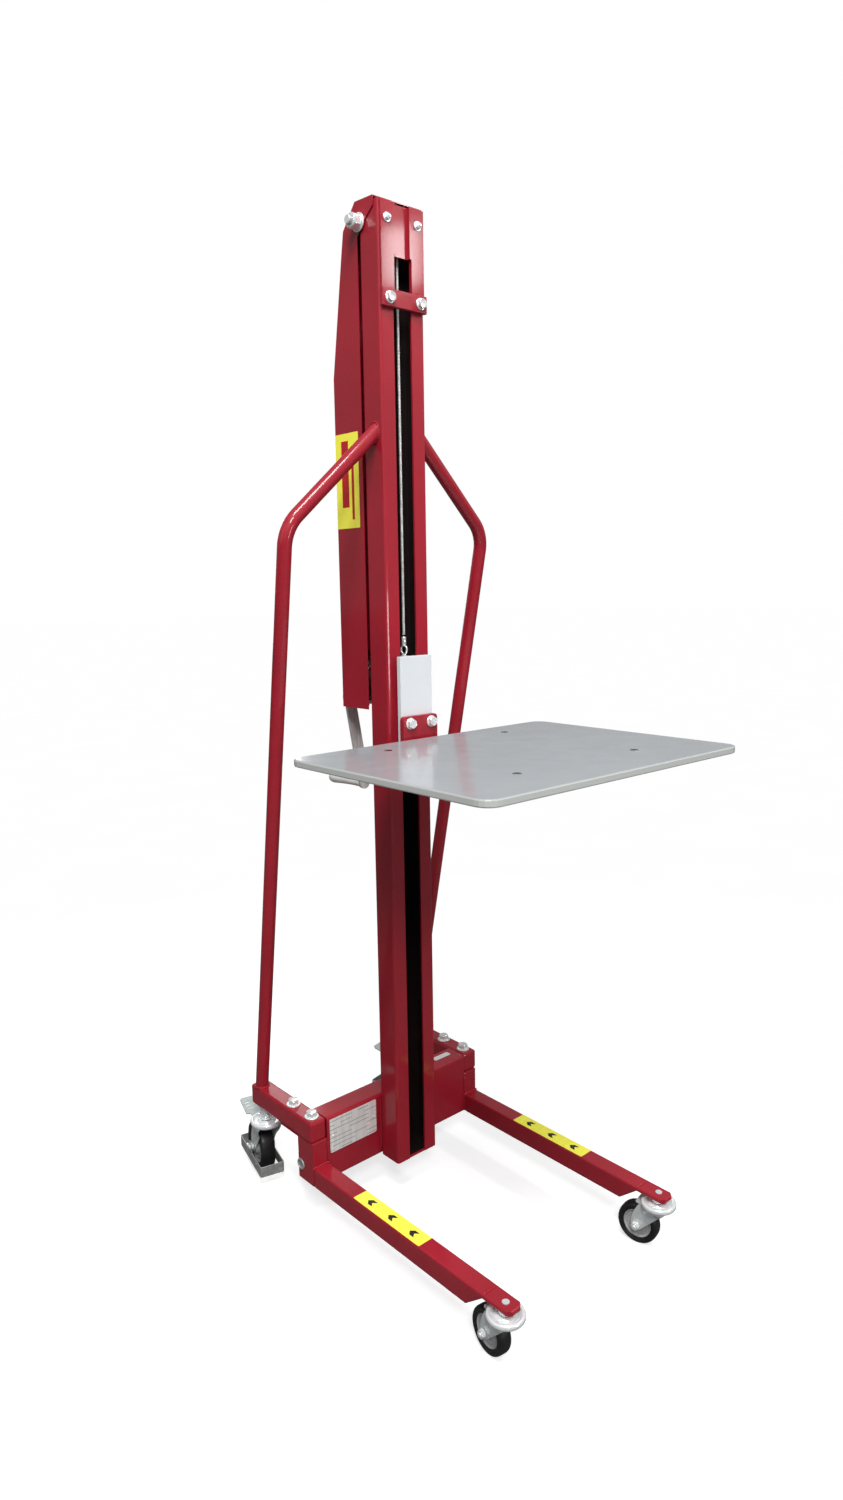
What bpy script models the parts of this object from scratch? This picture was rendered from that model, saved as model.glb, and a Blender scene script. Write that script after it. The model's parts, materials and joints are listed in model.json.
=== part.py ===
"""Hand-winch platform lift: a wheeled base, a slotted mast, a carriage with a load platform,
a rope winch behind the mast and four swivel casters.

Frame: metres, +Z up, the platform and the legs point to -Y, +X is to the operator's left when the
operator stands behind the mast. The origin is on the floor, under the middle of the mast's rear face.
"""

from math import atan2, cos, pi, radians, sin

import bmesh
import bpy
from mathutils import Matrix, Vector

# ---------------------------------------------------------------- driving dimensions
GAP = 0.0003                   # running and resting gap between neighbouring pieces
BASE_Z = 0.0705                # underside of the base frame, above the floor

FOOTPRINT_SHIFT = 0.1256       # y of the mast's rear face, once the footprint is centred on the origin
MAST_HALF = 0.050              # half width of the mast channel
MAST_DEPTH = 0.052
MAST_WALL = 0.004
MAST_TOP = 1.820
SLOT_HALF = 0.020              # half width of the slot in the mast's front

BEAM_DEPTH = 0.050
BEAM_HEIGHT = 0.1275
SIDE_IN = 0.180                # inner and outer faces of the legs and the end posts
SIDE_OUT = 0.214
TUBE_WALL = 0.003

LEG_HEIGHT = 0.0385
LEG_CUT_LOW = 0.407            # where the slanted front end of a leg starts, at the bottom
LEG_CUT_HIGH = 0.444
TONGUE_THICK = 0.008
TONGUE_TIP = 0.502
TONGUE_CHAMFER = 0.009
FRONT_SWIVEL = (0.198, -0.480)  # x (either side), y of the swivel axis

POST_TOP = 0.1530
FLANGE_THICK = 0.0050
FLANGE_REACH = 0.108
ARM_BOTTOM = POST_TOP + FLANGE_THICK + GAP
ARM_TOP = BASE_Z + BEAM_HEIGHT + 0.001
ARM_IN = 0.1806
ARM_OUT = 0.2160
ARM_FRONT = 0.0010
ARM_REACH = 0.209
REAR_SWIVEL = (0.200, 0.182)

HANDLE_RADIUS = 0.0127
HANDLE_FOOT = (0.2030, 0.1880, ARM_TOP)
HANDLE_BEND = (0.2300, -0.0120, 1.282)
HANDLE_HEAD = (MAST_HALF + GAP, -0.030, 1.447)
HANDLE_BEND_RADIUS = 0.070

HEAD_AXLE = (-0.0035, 1.792)   # y, z of the rope sheave's axle
ROPE_X = 0.009
ROPE_RADIUS = 0.0025
SHEAVE_PITCH = 0.0255
SHEAVE_OUTER = 0.0283

COVER_HALF = 0.0522
COVER_WALL = 0.0015
COVER_BOTTOM = 0.961
COVER_BACK = 0.080

CRANK_AXIS = (-0.0242, 0.975)  # x, z of the crank shaft
CRANK_LENGTH = 0.1757
CRANK_LEAN = radians(9.9)      # the arm hangs this far out of plumb
GEAR_MODULE = 0.002
GEAR_TEETH = 38
PINION_TEETH = 12
DRUM_X = 0.004                 # the drum shaft is above and beside the crank shaft
DRUM_CORE = 0.019

PLATFORM_WIDTH = 0.600
PLATFORM_DEPTH = 0.450
PLATFORM_THICK = 0.012
PLATFORM_TOP = 0.914
PLATFORM_BACK = -0.098
PLATFORM_CORNER = 0.026

CARRIAGE_TOP = 1.060
CARRIAGE_BOTTOM = 0.874
ROLLER_RADIUS = 0.0205
ROLLER_Z = (0.897, 1.027)
ROLLER_Y = -0.026
FACE_PLATE_FRONT = -0.0725
BRACKET_FRONT = -0.082

FRONT_WHEEL = dict(radius=0.0380, width=0.024, trail=0.036, dish_z=0.083, dish_radius=0.031)
REAR_WHEEL = dict(radius=0.0500, width=0.030, trail=0.042, dish_z=0.120, dish_radius=0.032)
PEDAL_PIN = (-0.020, 0.1110)   # y from the wheel's axle, and z, of the brake pedal's pin
PEDAL_TIP = (0.0630, 0.1260)
# side, and heading of the wheel axle in degrees from +X
FRONT_CASTERS = {"left": (-1, -8.5), "right": (1, 11.5)}
REAR_CASTERS = {"left": (-1, -14.5), "right": (1, 12.0)}

PAINTS = {
    "red_paint": ((0.34, 0.012, 0.022), 0.35, 0.0),
    "zinc": ((0.62, 0.64, 0.65), 0.30, 1.0),
    "bare_steel": ((0.45, 0.45, 0.44), 0.35, 1.0),
    "grey_plate": ((0.50, 0.53, 0.56), 0.25, 0.0),
    "pale_paint": ((0.70, 0.74, 0.76), 0.40, 0.0),
    "rubber": ((0.015, 0.015, 0.016), 0.60, 0.0),
    "hub_grey": ((0.34, 0.35, 0.35), 0.45, 0.0),
    "rope_steel": ((0.50, 0.50, 0.50), 0.40, 1.0),
    "grip_plastic": ((0.80, 0.80, 0.77), 0.45, 0.0),
}


# ---------------------------------------------------------------- building blocks
def clear_scene():
    for obj in list(bpy.data.objects):
        bpy.data.objects.remove(obj, do_unlink=True)


def material(name):
    if name in bpy.data.materials:
        return bpy.data.materials[name]
    colour, roughness, metallic = PAINTS[name]
    mat = bpy.data.materials.new(name)
    mat.use_nodes = True
    shader = mat.node_tree.nodes["Principled BSDF"]
    shader.inputs["Base Color"].default_value = (*colour, 1.0)
    shader.inputs["Roughness"].default_value = roughness
    shader.inputs["Metallic"].default_value = metallic
    return mat


def pivot(name, place, heading=0.0, parent=None):
    """An empty on a joint's axis, which the moving pieces hang from."""
    empty = bpy.data.objects.new(name, None)
    bpy.context.collection.objects.link(empty)
    empty.parent = parent
    empty.location = place
    empty.rotation_euler = (0.0, 0.0, heading)
    return empty


def add(name, bm, paint, parent=None, smooth=True):
    """Turns a bmesh into a named object with outward faces."""
    bmesh.ops.recalc_face_normals(bm, faces=bm.faces)
    mesh = bpy.data.meshes.new(name)
    bm.to_mesh(mesh)
    bm.free()
    if smooth:
        mesh.shade_smooth()
        mesh.set_sharp_from_angle(angle=radians(32))
    mesh.materials.append(material(paint))
    obj = bpy.data.objects.new(name, mesh)
    bpy.context.collection.objects.link(obj)
    obj.parent = parent
    return obj


def helper(name, bm, parent=None):
    """A cutter, or a shape that a Boolean joins to a piece."""
    obj = add(name, bm, "zinc", parent, smooth=False)
    obj.hide_render = True
    obj.display_type = "WIRE"
    return obj


def combine(obj, other, operation):
    modifier = obj.modifiers.new(f"{operation.lower()}_{other.name}", "BOOLEAN")
    modifier.operation = operation
    modifier.object = other


def round_edges(obj, width, segments=2, angle=50):
    modifier = obj.modifiers.new("edges", "BEVEL")
    modifier.width = width
    modifier.segments = segments
    modifier.limit_method = "ANGLE"
    modifier.angle_limit = radians(angle)
    modifier.use_clamp_overlap = True


def prism(outline, low, high, axis="z"):
    """Extrudes an outline along an axis. The outline's own axes are the other two, in x, y, z order."""
    bm = bmesh.new()
    place = {
        "x": lambda a, b, t: (t, a, b),
        "y": lambda a, b, t: (a, t, b),
        "z": lambda a, b, t: (a, b, t),
    }[axis]
    face = bm.faces.new([bm.verts.new(place(a, b, low)) for a, b in outline])
    top = bmesh.ops.extrude_face_region(bm, geom=[face])["geom"]
    shift = Vector(place(0.0, 0.0, high - low))
    bmesh.ops.translate(bm, verts=[v for v in top if isinstance(v, bmesh.types.BMVert)], vec=shift)
    return bm


def block(low, high):
    outline = [(low[0], low[1]), (high[0], low[1]), (high[0], high[1]), (low[0], high[1])]
    return prism(outline, low[2], high[2])


def lathe(profile, steps=24, axis="z", centre=(0.0, 0.0, 0.0)):
    """Turns a closed (radius, height) profile about an axis. A radius of zero closes on the axis."""
    bm = bmesh.new()
    turn = {
        "x": lambda r, a, h: (h, r * cos(a), r * sin(a)),
        "y": lambda r, a, h: (r * cos(a), h, r * sin(a)),
        "z": lambda r, a, h: (r * cos(a), r * sin(a), h),
    }[axis]
    base = Vector(centre)
    rings = []
    for radius, height in profile:
        count = 1 if radius == 0.0 else steps
        angles = [2 * pi * i / steps for i in range(count)]
        rings.append([bm.verts.new(base + Vector(turn(radius, angle, height))) for angle in angles])
    hollow = all(radius > 0.0 for radius, _ in profile)
    last = len(rings) if hollow else len(rings) - 1
    for index in range(last):
        one, two = rings[index], rings[(index + 1) % len(rings)]
        for i in range(steps):
            corners = [one[i % len(one)], one[(i + 1) % len(one)], two[(i + 1) % len(two)], two[i % len(two)]]
            unique = list(dict.fromkeys(corners))
            if len(unique) > 2:
                bm.faces.new(unique)
    return bm


def rod(radius, low, high, axis="z", centre=(0.0, 0.0, 0.0), steps=20):
    return lathe([(0.0, low), (radius, low), (radius, high), (0.0, high)], steps, axis, centre)


def hexagon(across_flats, low, high, axis="z", centre=(0.0, 0.0, 0.0)):
    return rod(across_flats / (2 * cos(pi / 6)), low, high, axis, centre, steps=6)


def hex_fastener(name, shank, heads, axis, centre=(0.0, 0.0, 0.0), bore=None, parent=None):
    """A turned shank or washer, hexagons of (across flats, low, high) on it, and a bore if it is a nut."""
    obj = add(name, lathe(shank, 16, axis, centre), "zinc", parent)
    for index, (across_flats, low, high) in enumerate(heads):
        head = helper(f"join_{name}_{index}", hexagon(across_flats, low, high, axis, centre), parent)
        combine(obj, head, "UNION")
    if bore:
        hole = helper(f"cut_{name}", rod(bore, -0.2, 0.2, axis, centre), parent)
        combine(obj, hole, "DIFFERENCE")
    return obj


def sweep(path, radius, steps=16):
    """A round bar along a path of points, with flat ends."""
    points = [Vector(p) for p in path]
    bm = bmesh.new()
    side = None
    rings = []
    for i, point in enumerate(points):
        ahead = points[min(i + 1, len(points) - 1)] - point
        behind = point - points[max(i - 1, 0)]
        tangent = (ahead.normalized() + behind.normalized()).normalized()
        if side is None:
            side = tangent.orthogonal().normalized()
        side = (side - tangent * side.dot(tangent)).normalized()
        other = tangent.cross(side)
        angles = [2 * pi * k / steps for k in range(steps)]
        ring = [point + radius * (cos(angle) * side + sin(angle) * other) for angle in angles]
        rings.append([bm.verts.new(place) for place in ring])
    for one, two in zip(rings, rings[1:]):
        for k in range(steps):
            bm.faces.new([one[k], one[(k + 1) % steps], two[(k + 1) % steps], two[k]])
    bm.faces.new(rings[0])
    bm.faces.new(rings[-1])
    return bm


def arc(centre, radius, start, end, count):
    """Points of an arc in a plane, angles in degrees."""
    angles = [radians(start + (end - start) * i / (count - 1)) for i in range(count)]
    return [(centre[0] + radius * cos(a), centre[1] + radius * sin(a)) for a in angles]


def rounded_rectangle(half_x, half_y, radius, centre=(0.0, 0.0), count=4):
    points = []
    for sx, sy, start in ((1, 1, 0), (-1, 1, 90), (-1, -1, 180), (1, -1, 270)):
        corner = (centre[0] + sx * (half_x - radius), centre[1] + sy * (half_y - radius))
        points += arc(corner, radius, start, start + 90, count)
    return points


def bent_path(start, corner, end, radius, count=7):
    """A line, an arc and a line: the centre line of a bent tube."""
    start, corner, end = Vector(start), Vector(corner), Vector(end)
    one, two = (start - corner).normalized(), (end - corner).normalized()
    half = one.angle(two) / 2
    centre = corner + (one + two).normalized() * radius / sin(half)
    reach = radius / (sin(half) / cos(half))
    first, last = corner + one * reach, corner + two * reach
    normal = (first - centre).cross(last - centre).normalized()
    turn = (first - centre).angle(last - centre)
    steps = [Matrix.Rotation(turn * i / (count - 1), 3, normal) for i in range(count)]
    return [start] + [centre + step @ (first - centre) for step in steps] + [end]


# ---------------------------------------------------------------- base frame
def mast_channel():
    """A lipped channel, open at the front, with a slot in its web for the sheave."""
    half, wall, front = MAST_HALF, MAST_WALL, -MAST_DEPTH
    back = -GAP
    outline = [(-SLOT_HALF, front), (-SLOT_HALF, front + wall), (-half + wall, front + wall)]
    outline += [(-half + wall, back - wall), (half - wall, back - wall), (half - wall, front + wall)]
    outline += [(SLOT_HALF, front + wall), (SLOT_HALF, front)]
    outline += arc((half - 0.005, front + 0.005), 0.005, -90, 0, 4)
    outline += arc((half - 0.005, back - 0.005), 0.005, 0, 90, 4)
    outline += arc((-half + 0.005, back - 0.005), 0.005, 90, 180, 4)
    outline += arc((-half + 0.005, front + 0.005), 0.005, 180, 270, 4)
    mast = add("mast_channel", prism(outline, BASE_Z, MAST_TOP), "red_paint")
    slot = block((ROPE_X - 0.013, -0.012, HEAD_AXLE[1] - 0.062), (ROPE_X + 0.013, 0.01, 1.9))
    combine(mast, helper("cut_web_slot", slot), "DIFFERENCE")
    foot = block((-half + 0.002, front + 0.001, BASE_Z), (half - 0.002, back - 0.001, BASE_Z + wall))
    combine(mast, helper("join_mast_foot", foot), "UNION")
    axle_hole = helper("cut_axle_hole", rod(0.0083, -0.1, 0.1, "x", (0.0, *HEAD_AXLE)))
    combine(mast, axle_hole, "DIFFERENCE")
    return axle_hole


def cross_beam():
    end = SIDE_IN - GAP
    centre = (BEAM_DEPTH / 2, BASE_Z + BEAM_HEIGHT / 2)
    outline = rounded_rectangle(BEAM_DEPTH / 2, BEAM_HEIGHT / 2, 0.0055, centre, 5)
    beam = add("cross_beam", prism(outline, -end, end, "x"), "red_paint")
    low, high = TUBE_WALL, BEAM_HEIGHT - TUBE_WALL
    hollow = block((-0.3, low, BASE_Z + low), (0.3, BEAM_DEPTH - low, BASE_Z + high))
    combine(beam, helper("cut_beam_hollow", hollow), "DIFFERENCE")


def mirrored_span(side, inner=SIDE_IN, outer=SIDE_OUT):
    """The x range of a side member, low value first."""
    return sorted((side * inner, side * outer))


def leg(name, side):
    """A square tube with a slanted front end, and the tongue plate that carries the caster."""
    low_x, high_x = mirrored_span(side)
    top = BASE_Z + LEG_HEIGHT
    under = top - TONGUE_THICK
    outline = [(-GAP, BASE_Z), (-LEG_CUT_LOW, BASE_Z), (-LEG_CUT_HIGH, under), (-TONGUE_TIP, under)]
    outline += [(-TONGUE_TIP, top), (-GAP, top)]
    tube = add(name, prism(outline, low_x, high_x, "x"), "red_paint")
    round_edges(tube, 0.003)
    for label, corner in (("near", low_x), ("far", high_x)):
        chamfer = rod(TONGUE_CHAMFER, 0.0, 0.2, "z", (corner, -TONGUE_TIP, 0.0), 4)
        combine(tube, helper(f"cut_{name}_{label}_corner", chamfer), "DIFFERENCE")
    wall = TUBE_WALL
    hollow = block((low_x + wall, -0.395, BASE_Z + wall), (high_x - wall, 0.02, top - wall))
    combine(tube, helper(f"cut_{name}", hollow), "DIFFERENCE")
    stem_hole = rod(0.0063, 0.0, 0.2, "z", (side * FRONT_SWIVEL[0], FRONT_SWIVEL[1], 0.0))
    combine(tube, helper(f"cut_{name}_stem", stem_hole), "DIFFERENCE")


def end_post(name, side):
    """The post at the end of the beam, with the flange that the rear arm is bolted to."""
    low_x, high_x = mirrored_span(side)
    top = POST_TOP + FLANGE_THICK
    outline = [(0.0, BASE_Z), (BEAM_DEPTH, BASE_Z), (BEAM_DEPTH, POST_TOP), (FLANGE_REACH, POST_TOP)]
    outline += [(FLANGE_REACH, top), (0.0, top)]
    post = add(name, prism(outline, low_x, high_x, "x"), "red_paint")
    round_edges(post, 0.002)


def rear_arm(name, side):
    """A rectangular tube, closed in front and open behind, on top of the end post."""
    low_x, high_x = mirrored_span(side, ARM_IN, ARM_OUT)
    outer = block((low_x, ARM_FRONT, ARM_BOTTOM), (high_x, ARM_REACH, ARM_TOP))
    arm = add(name, outer, "red_paint")
    round_edges(arm, 0.0045)
    wall = TUBE_WALL
    hollow = block((low_x + wall, ARM_FRONT + wall, ARM_BOTTOM + wall), (high_x - wall, 0.3, ARM_TOP - wall))
    combine(arm, helper(f"cut_{name}", hollow), "DIFFERENCE")
    stem_hole = rod(0.0063, 0.1, 0.17, "z", (side * REAR_SWIVEL[0], REAR_SWIVEL[1], 0.0))
    combine(arm, helper(f"cut_{name}_stem", stem_hole), "DIFFERENCE")


def handle_tube(name, side):
    """A bent tube from the rear arm up to the mast's side: the push handle and a brace in one."""
    ends = [(side * x, y, z) for x, y, z in (HANDLE_FOOT, HANDLE_BEND, HANDLE_HEAD)]
    path = bent_path(*ends, HANDLE_BEND_RADIUS, 8)
    path[0] = path[0] - (path[1] - path[0]).normalized() * 0.01
    path[-1] = path[-1] + (path[-1] - path[-2]).normalized() * 0.03
    tube = add(name, sweep(path, HANDLE_RADIUS, 16), "red_paint")
    floor = block((-0.4, 0.0, 0.0), (0.4, 0.4, ARM_TOP + GAP))
    combine(tube, helper(f"cut_{name}_foot", floor), "DIFFERENCE")
    wall = block((-MAST_HALF - GAP, -0.2, 1.2), (MAST_HALF + GAP, 0.2, 1.7))
    combine(tube, helper(f"cut_{name}_head", wall), "DIFFERENCE")


def name_plate():
    """The blank rating plate riveted to the beam's front."""
    plate = rounded_rectangle(0.0560, 0.0340, 0.003, (-0.1180, 0.1580), 3)
    add("name_plate", prism(plate, -GAP - 0.0008, -GAP, "y"), "bare_steel")


# ---------------------------------------------------------------- mast head
def rear_cover(axle_hole):
    """A folded sheet cover behind the mast, with cheeks that lap over the mast's head."""
    back, front = COVER_BACK, 0.0030
    outline = [(front, COVER_BOTTOM), (back, COVER_BOTTOM), (back, 1.552), (0.0485, 1.746), (0.0410, 1.789)]
    outline += [(0.0070, 1.8275), (-0.0410, 1.8255), (-0.0405, 1.8095), (-0.0225, 1.7960), (front, 1.7700)]
    cover = add("rear_cover", prism(outline, -COVER_HALF, COVER_HALF, "x"), "red_paint")
    wall = COVER_WALL
    inside = [(-0.06, 0.90), (back - wall, 0.90), (back - wall, 1.5518), (0.0470, 1.7457), (0.0396, 1.7882)]
    inside += [(0.0064, 1.8259), (-0.06, 1.8232)]
    hollow = prism(inside, -COVER_HALF + wall, COVER_HALF - wall, "x")
    combine(cover, helper("cut_cover_hollow", hollow), "DIFFERENCE")
    combine(cover, axle_hole, "DIFFERENCE")
    shaft_hole = rod(0.0075, 0.06, 0.12, "y", (CRANK_AXIS[0], 0.0, CRANK_AXIS[1]))
    combine(cover, helper("cut_cover_shaft", shaft_hole), "DIFFERENCE")


def head_front_plate():
    """A pressed plate: two flat straps on the mast's lips and a recessed panel between them."""
    strap, inner = 0.0475, SLOT_HALF - 0.0005
    face = -MAST_DEPTH - GAP
    thick = 0.0035
    recess = -MAST_DEPTH + 0.0065
    front, floor = face - thick, recess - thick
    outline = [(-strap, face), (-strap, front), (-inner + thick, front), (-inner + thick, floor)]
    outline += [(inner - thick, floor), (inner - thick, front), (strap, front), (strap, face)]
    outline += [(inner, face), (inner, recess), (-inner, recess), (-inner, face)]
    plate = add("head_front_plate", prism(outline, 1.6790, 1.8170), "red_paint")
    window = block((-inner - 0.0001, -0.08, 1.6), (inner + 0.0001, -0.03, 1.735))
    combine(plate, helper("cut_head_window", window), "DIFFERENCE")


def stop_bar():
    """The bar across the slot that ends the carriage's travel."""
    front = -MAST_DEPTH - GAP
    bar = add("carriage_stop_bar", block((-0.050, front - 0.008, 1.650), (0.050, front, 1.6785)), "red_paint")
    round_edges(bar, 0.001, 1)


def rope_sheave(parent):
    """A grooved wheel that turns on the head axle."""
    half, bore, groove = 0.0070, 0.0083, SHEAVE_PITCH - ROPE_RADIUS - 0.0008
    rim = SHEAVE_OUTER
    profile = [(bore, -half), (rim - 0.001, -half), (rim, -half + 0.0012), (rim, -0.0044)]
    profile += [(groove, -0.0028), (groove, 0.0028)]
    profile += [(rim, 0.0044), (rim, half - 0.0012), (rim - 0.001, half), (bore, half)]
    add("rope_sheave", lathe(profile, 24, "x"), "bare_steel", parent)


def sheave_axle():
    """The head bolt that the sheave turns on, with its head on one side and nut and washer on the other."""
    place = (0.0, *HEAD_AXLE)
    face = COVER_HALF + GAP
    shank = [(0.0, face + 0.001), (0.0079, face + 0.001), (0.0079, -0.0780), (0.0, -0.0780)]
    hex_fastener("sheave_axle_bolt", shank, [(0.024, face, face + 0.010)], "x", place)
    washer = [(0.0, -face), (0.0155, -face), (0.0155, -face - 0.006), (0.0, -face - 0.006)]
    hex_fastener("sheave_axle_nut", washer, [(0.024, -face - 0.0190, -face - 0.0050)], "x", place, 0.0084)


# ---------------------------------------------------------------- winch and rope
def drum_centre():
    """The drum shaft's x and z, at the gears' centre distance from the crank shaft."""
    distance = GEAR_MODULE * (GEAR_TEETH + PINION_TEETH) / 2
    rise = (distance**2 - (DRUM_X - CRANK_AXIS[0]) ** 2) ** 0.5
    return DRUM_X, CRANK_AXIS[1] + rise


def gear_outline(teeth, phase):
    """A spur gear's outline: straight flanks and flat tips, each tooth a little thinner than its space."""
    pitch = GEAR_MODULE * teeth / 2
    root, tip = pitch - 1.25 * GEAR_MODULE, pitch + 0.85 * GEAR_MODULE
    points = []
    for tooth in range(teeth):
        middle = phase + 2 * pi * tooth / teeth
        for radius, share in ((root, -0.33), (tip, -0.10), (tip, 0.10), (root, 0.33)):
            angle = middle + share * 2 * pi / teeth
            points.append((radius * cos(angle), radius * sin(angle)))
    return points


def mesh_phases():
    """Turns the two gears so that a pinion tooth points into a gap of the big gear."""
    drum_x, drum_z = drum_centre()
    line = atan2(CRANK_AXIS[1] - drum_z, CRANK_AXIS[0] - drum_x)
    return line + pi / GEAR_TEETH, line + pi


def drum_and_gear(parent, phase):
    """The rope drum with its flanges, its shaft and the big gear."""
    shaft, core, flange = 0.0065, DRUM_CORE, 0.031
    profile = [(0.0, 0.0012), (shaft, 0.0012), (shaft, 0.0085), (flange, 0.0085), (flange, 0.0110)]
    profile += [(core, 0.0110), (core, 0.0370), (flange, 0.0370), (flange, 0.0400)]
    profile += [(shaft, 0.0400), (shaft, 0.0700), (0.0, 0.0700)]
    drum = add("winch_drum_gear", lathe(profile, 20, "y"), "bare_steel", parent)
    gear = helper("join_drum_gear", prism(gear_outline(GEAR_TEETH, phase), 0.0440, 0.0540, "y"), parent)
    combine(drum, gear, "UNION")


def crank_shaft(parent, phase):
    """The pinion and the shaft that the crank turns."""
    shaft = 0.006
    profile = [(0.0, 0.0012), (shaft, 0.0012), (shaft, 0.1070), (0.0, 0.1070)]
    pinion = add("crank_shaft_pinion", lathe(profile, 16, "y"), "bare_steel", parent)
    teeth = helper("join_pinion", prism(gear_outline(PINION_TEETH, phase), 0.0430, 0.0550, "y"), parent)
    combine(pinion, teeth, "UNION")


def winch_frame():
    """A sheet bracket behind the mast: two plates that carry the shafts, joined by a side wall."""
    drum_x, drum_z = drum_centre()
    low, high = CRANK_AXIS[1] - 0.0130, drum_z + 0.050
    half, wall, back = 0.0480, 0.003, 0.068
    outline = [(-0.040, 0.0005), (half, 0.0005), (half, back), (-0.0480, back), (-0.0480, back - wall)]
    outline += [(half - wall, back - wall), (half - wall, 0.0005 + wall), (-0.040, 0.0005 + wall)]
    frame = add("winch_bracket", prism(outline, low, high), "zinc")
    for name, x, z, radius in (("crank", *CRANK_AXIS, 0.0061), ("drum", drum_x, drum_z, 0.0066)):
        hole = rod(radius, -0.01, 0.1, "y", (x, 0.0, z))
        combine(frame, helper(f"cut_bracket_{name}", hole), "DIFFERENCE")


def crank(parent, grip_parent):
    """A flat arm with rounded ends that hangs from the shaft, and the grip on its pin."""
    half, low, high = 0.0115, 0.0935, 0.0995
    end = -CRANK_LENGTH
    outline = arc((0.0, 0.0), half, 0, 180, 8) + arc((0.0, end), half, 180, 360, 8)
    arm = add("crank_arm", prism(outline, low, high, "y"), "bare_steel", parent)
    arm.rotation_euler = (0.0, -CRANK_LEAN, 0.0)
    shaft_hole = helper("cut_crank_shaft", rod(0.0062, 0.08, 0.12, "y"), parent)
    combine(arm, shaft_hole, "DIFFERENCE")
    pin_length = 0.1000
    pin = rod(0.0042, low + 0.001, high + pin_length, "y", (0.0, 0.0, end), 12)
    pin = helper("join_grip_pin", pin, parent)
    pin.rotation_euler = arm.rotation_euler
    combine(arm, pin, "UNION")
    washer = [(0.0, high + GAP), (0.0090, high + GAP), (0.0090, high + 0.0015), (0.0, high + 0.0015)]
    flats = [(0.0165, high + 0.001, high + 0.0080)]
    hex_fastener("crank_nut", washer, flats, "y", (0.0, 0.0, 0.0), 0.0063, parent)
    start = 0.0012
    profile = [(0.0045, start), (0.0080, start), (0.0098, 0.006), (0.0092, 0.030)]
    profile += [(0.0105, 0.062), (0.0128, 0.090), (0.0122, 0.098), (0.0090, 0.101), (0.0045, 0.101)]
    add("crank_grip", lathe(profile, 16, "y"), "grip_plastic", grip_parent)


def grip_place():
    return (
        CRANK_AXIS[0] + CRANK_LENGTH * sin(CRANK_LEAN),
        0.0995,
        CRANK_AXIS[1] - CRANK_LENGTH * cos(CRANK_LEAN),
    )


def ropes():
    """The rope from the carriage to the sheave, and the stretch over the sheave down to the drum."""
    axle_y, axle_z = HEAD_AXLE
    front_y = axle_y - SHEAVE_PITCH
    lift = rod(ROPE_RADIUS, CARRIAGE_TOP + 0.0360, axle_z - GAP, "z", (ROPE_X, front_y, 0.0), 8)
    add("lift_rope", lift, "rope_steel")
    over = [(ROPE_X, y, z) for y, z in arc((axle_y, axle_z), SHEAVE_PITCH, 180, 0, 13)]
    drum_x, drum_z = drum_centre()
    touch = drum_x - DRUM_CORE - ROPE_RADIUS - GAP
    over.append((touch, axle_y + SHEAVE_PITCH, drum_z))
    add("winch_rope", sweep(over, ROPE_RADIUS, 8), "rope_steel")


# ---------------------------------------------------------------- carriage and platform
def carriage_trolley(parent):
    """The trolley inside the mast, with its four roller pins and the neck that comes out of the slot."""
    half = 0.024
    body = block((-half, -0.040, CARRIAGE_BOTTOM), (half, -0.012, CARRIAGE_TOP - 0.003))
    trolley = add("carriage_trolley", body, "bare_steel", parent)
    front = FACE_PLATE_FRONT + 0.010 + GAP
    neck = block((-0.0165, front, CARRIAGE_BOTTOM), (0.0165, -0.030, CARRIAGE_TOP - 0.003))
    combine(trolley, helper("join_neck", neck), "UNION")
    for index, z in enumerate(ROLLER_Z):
        pin = rod(0.0060, -0.0435, 0.0435, "x", (0.0, ROLLER_Y, z), 16)
        combine(trolley, helper(f"join_roller_pin_{index}", pin), "UNION")


def guide_roller(name, side, parent):
    low, high = sorted((side * 0.0280, side * 0.0420))
    bore, rim = 0.0062, ROLLER_RADIUS
    bevel = 0.0012
    profile = [(bore, low), (rim - bevel, low), (rim, low + bevel)]
    profile += [(rim, high - bevel), (rim - bevel, high), (bore, high)]
    add(name, lathe(profile, 20, "x"), "bare_steel", parent)


def rope_eye(parent):
    """The eye bolt and ferrule that the lift rope is fixed to."""
    y = HEAD_AXLE[0] - SHEAVE_PITCH
    low = CARRIAGE_TOP - 0.003 + GAP
    profile = [(0.0, low), (0.0065, low), (0.0065, low + 0.009), (0.0036, low + 0.011), (0.0036, low + 0.015)]
    profile += [(0.0048, low + 0.017), (0.0048, low + 0.036), (0.0036, low + 0.038), (0.0, low + 0.038)]
    add("rope_socket", lathe(profile, 16, "z", (ROPE_X, y, 0.0)), "zinc", parent)


def face_plate(parent):
    """The pale plate on the front of the trolley."""
    low = (-0.0375, FACE_PLATE_FRONT, CARRIAGE_BOTTOM - 0.004)
    high = (0.0375, FACE_PLATE_FRONT + 0.010, CARRIAGE_TOP)
    plate = add("carriage_face_plate", block(low, high), "pale_paint", parent)
    round_edges(plate, 0.0008, 1)


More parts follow.
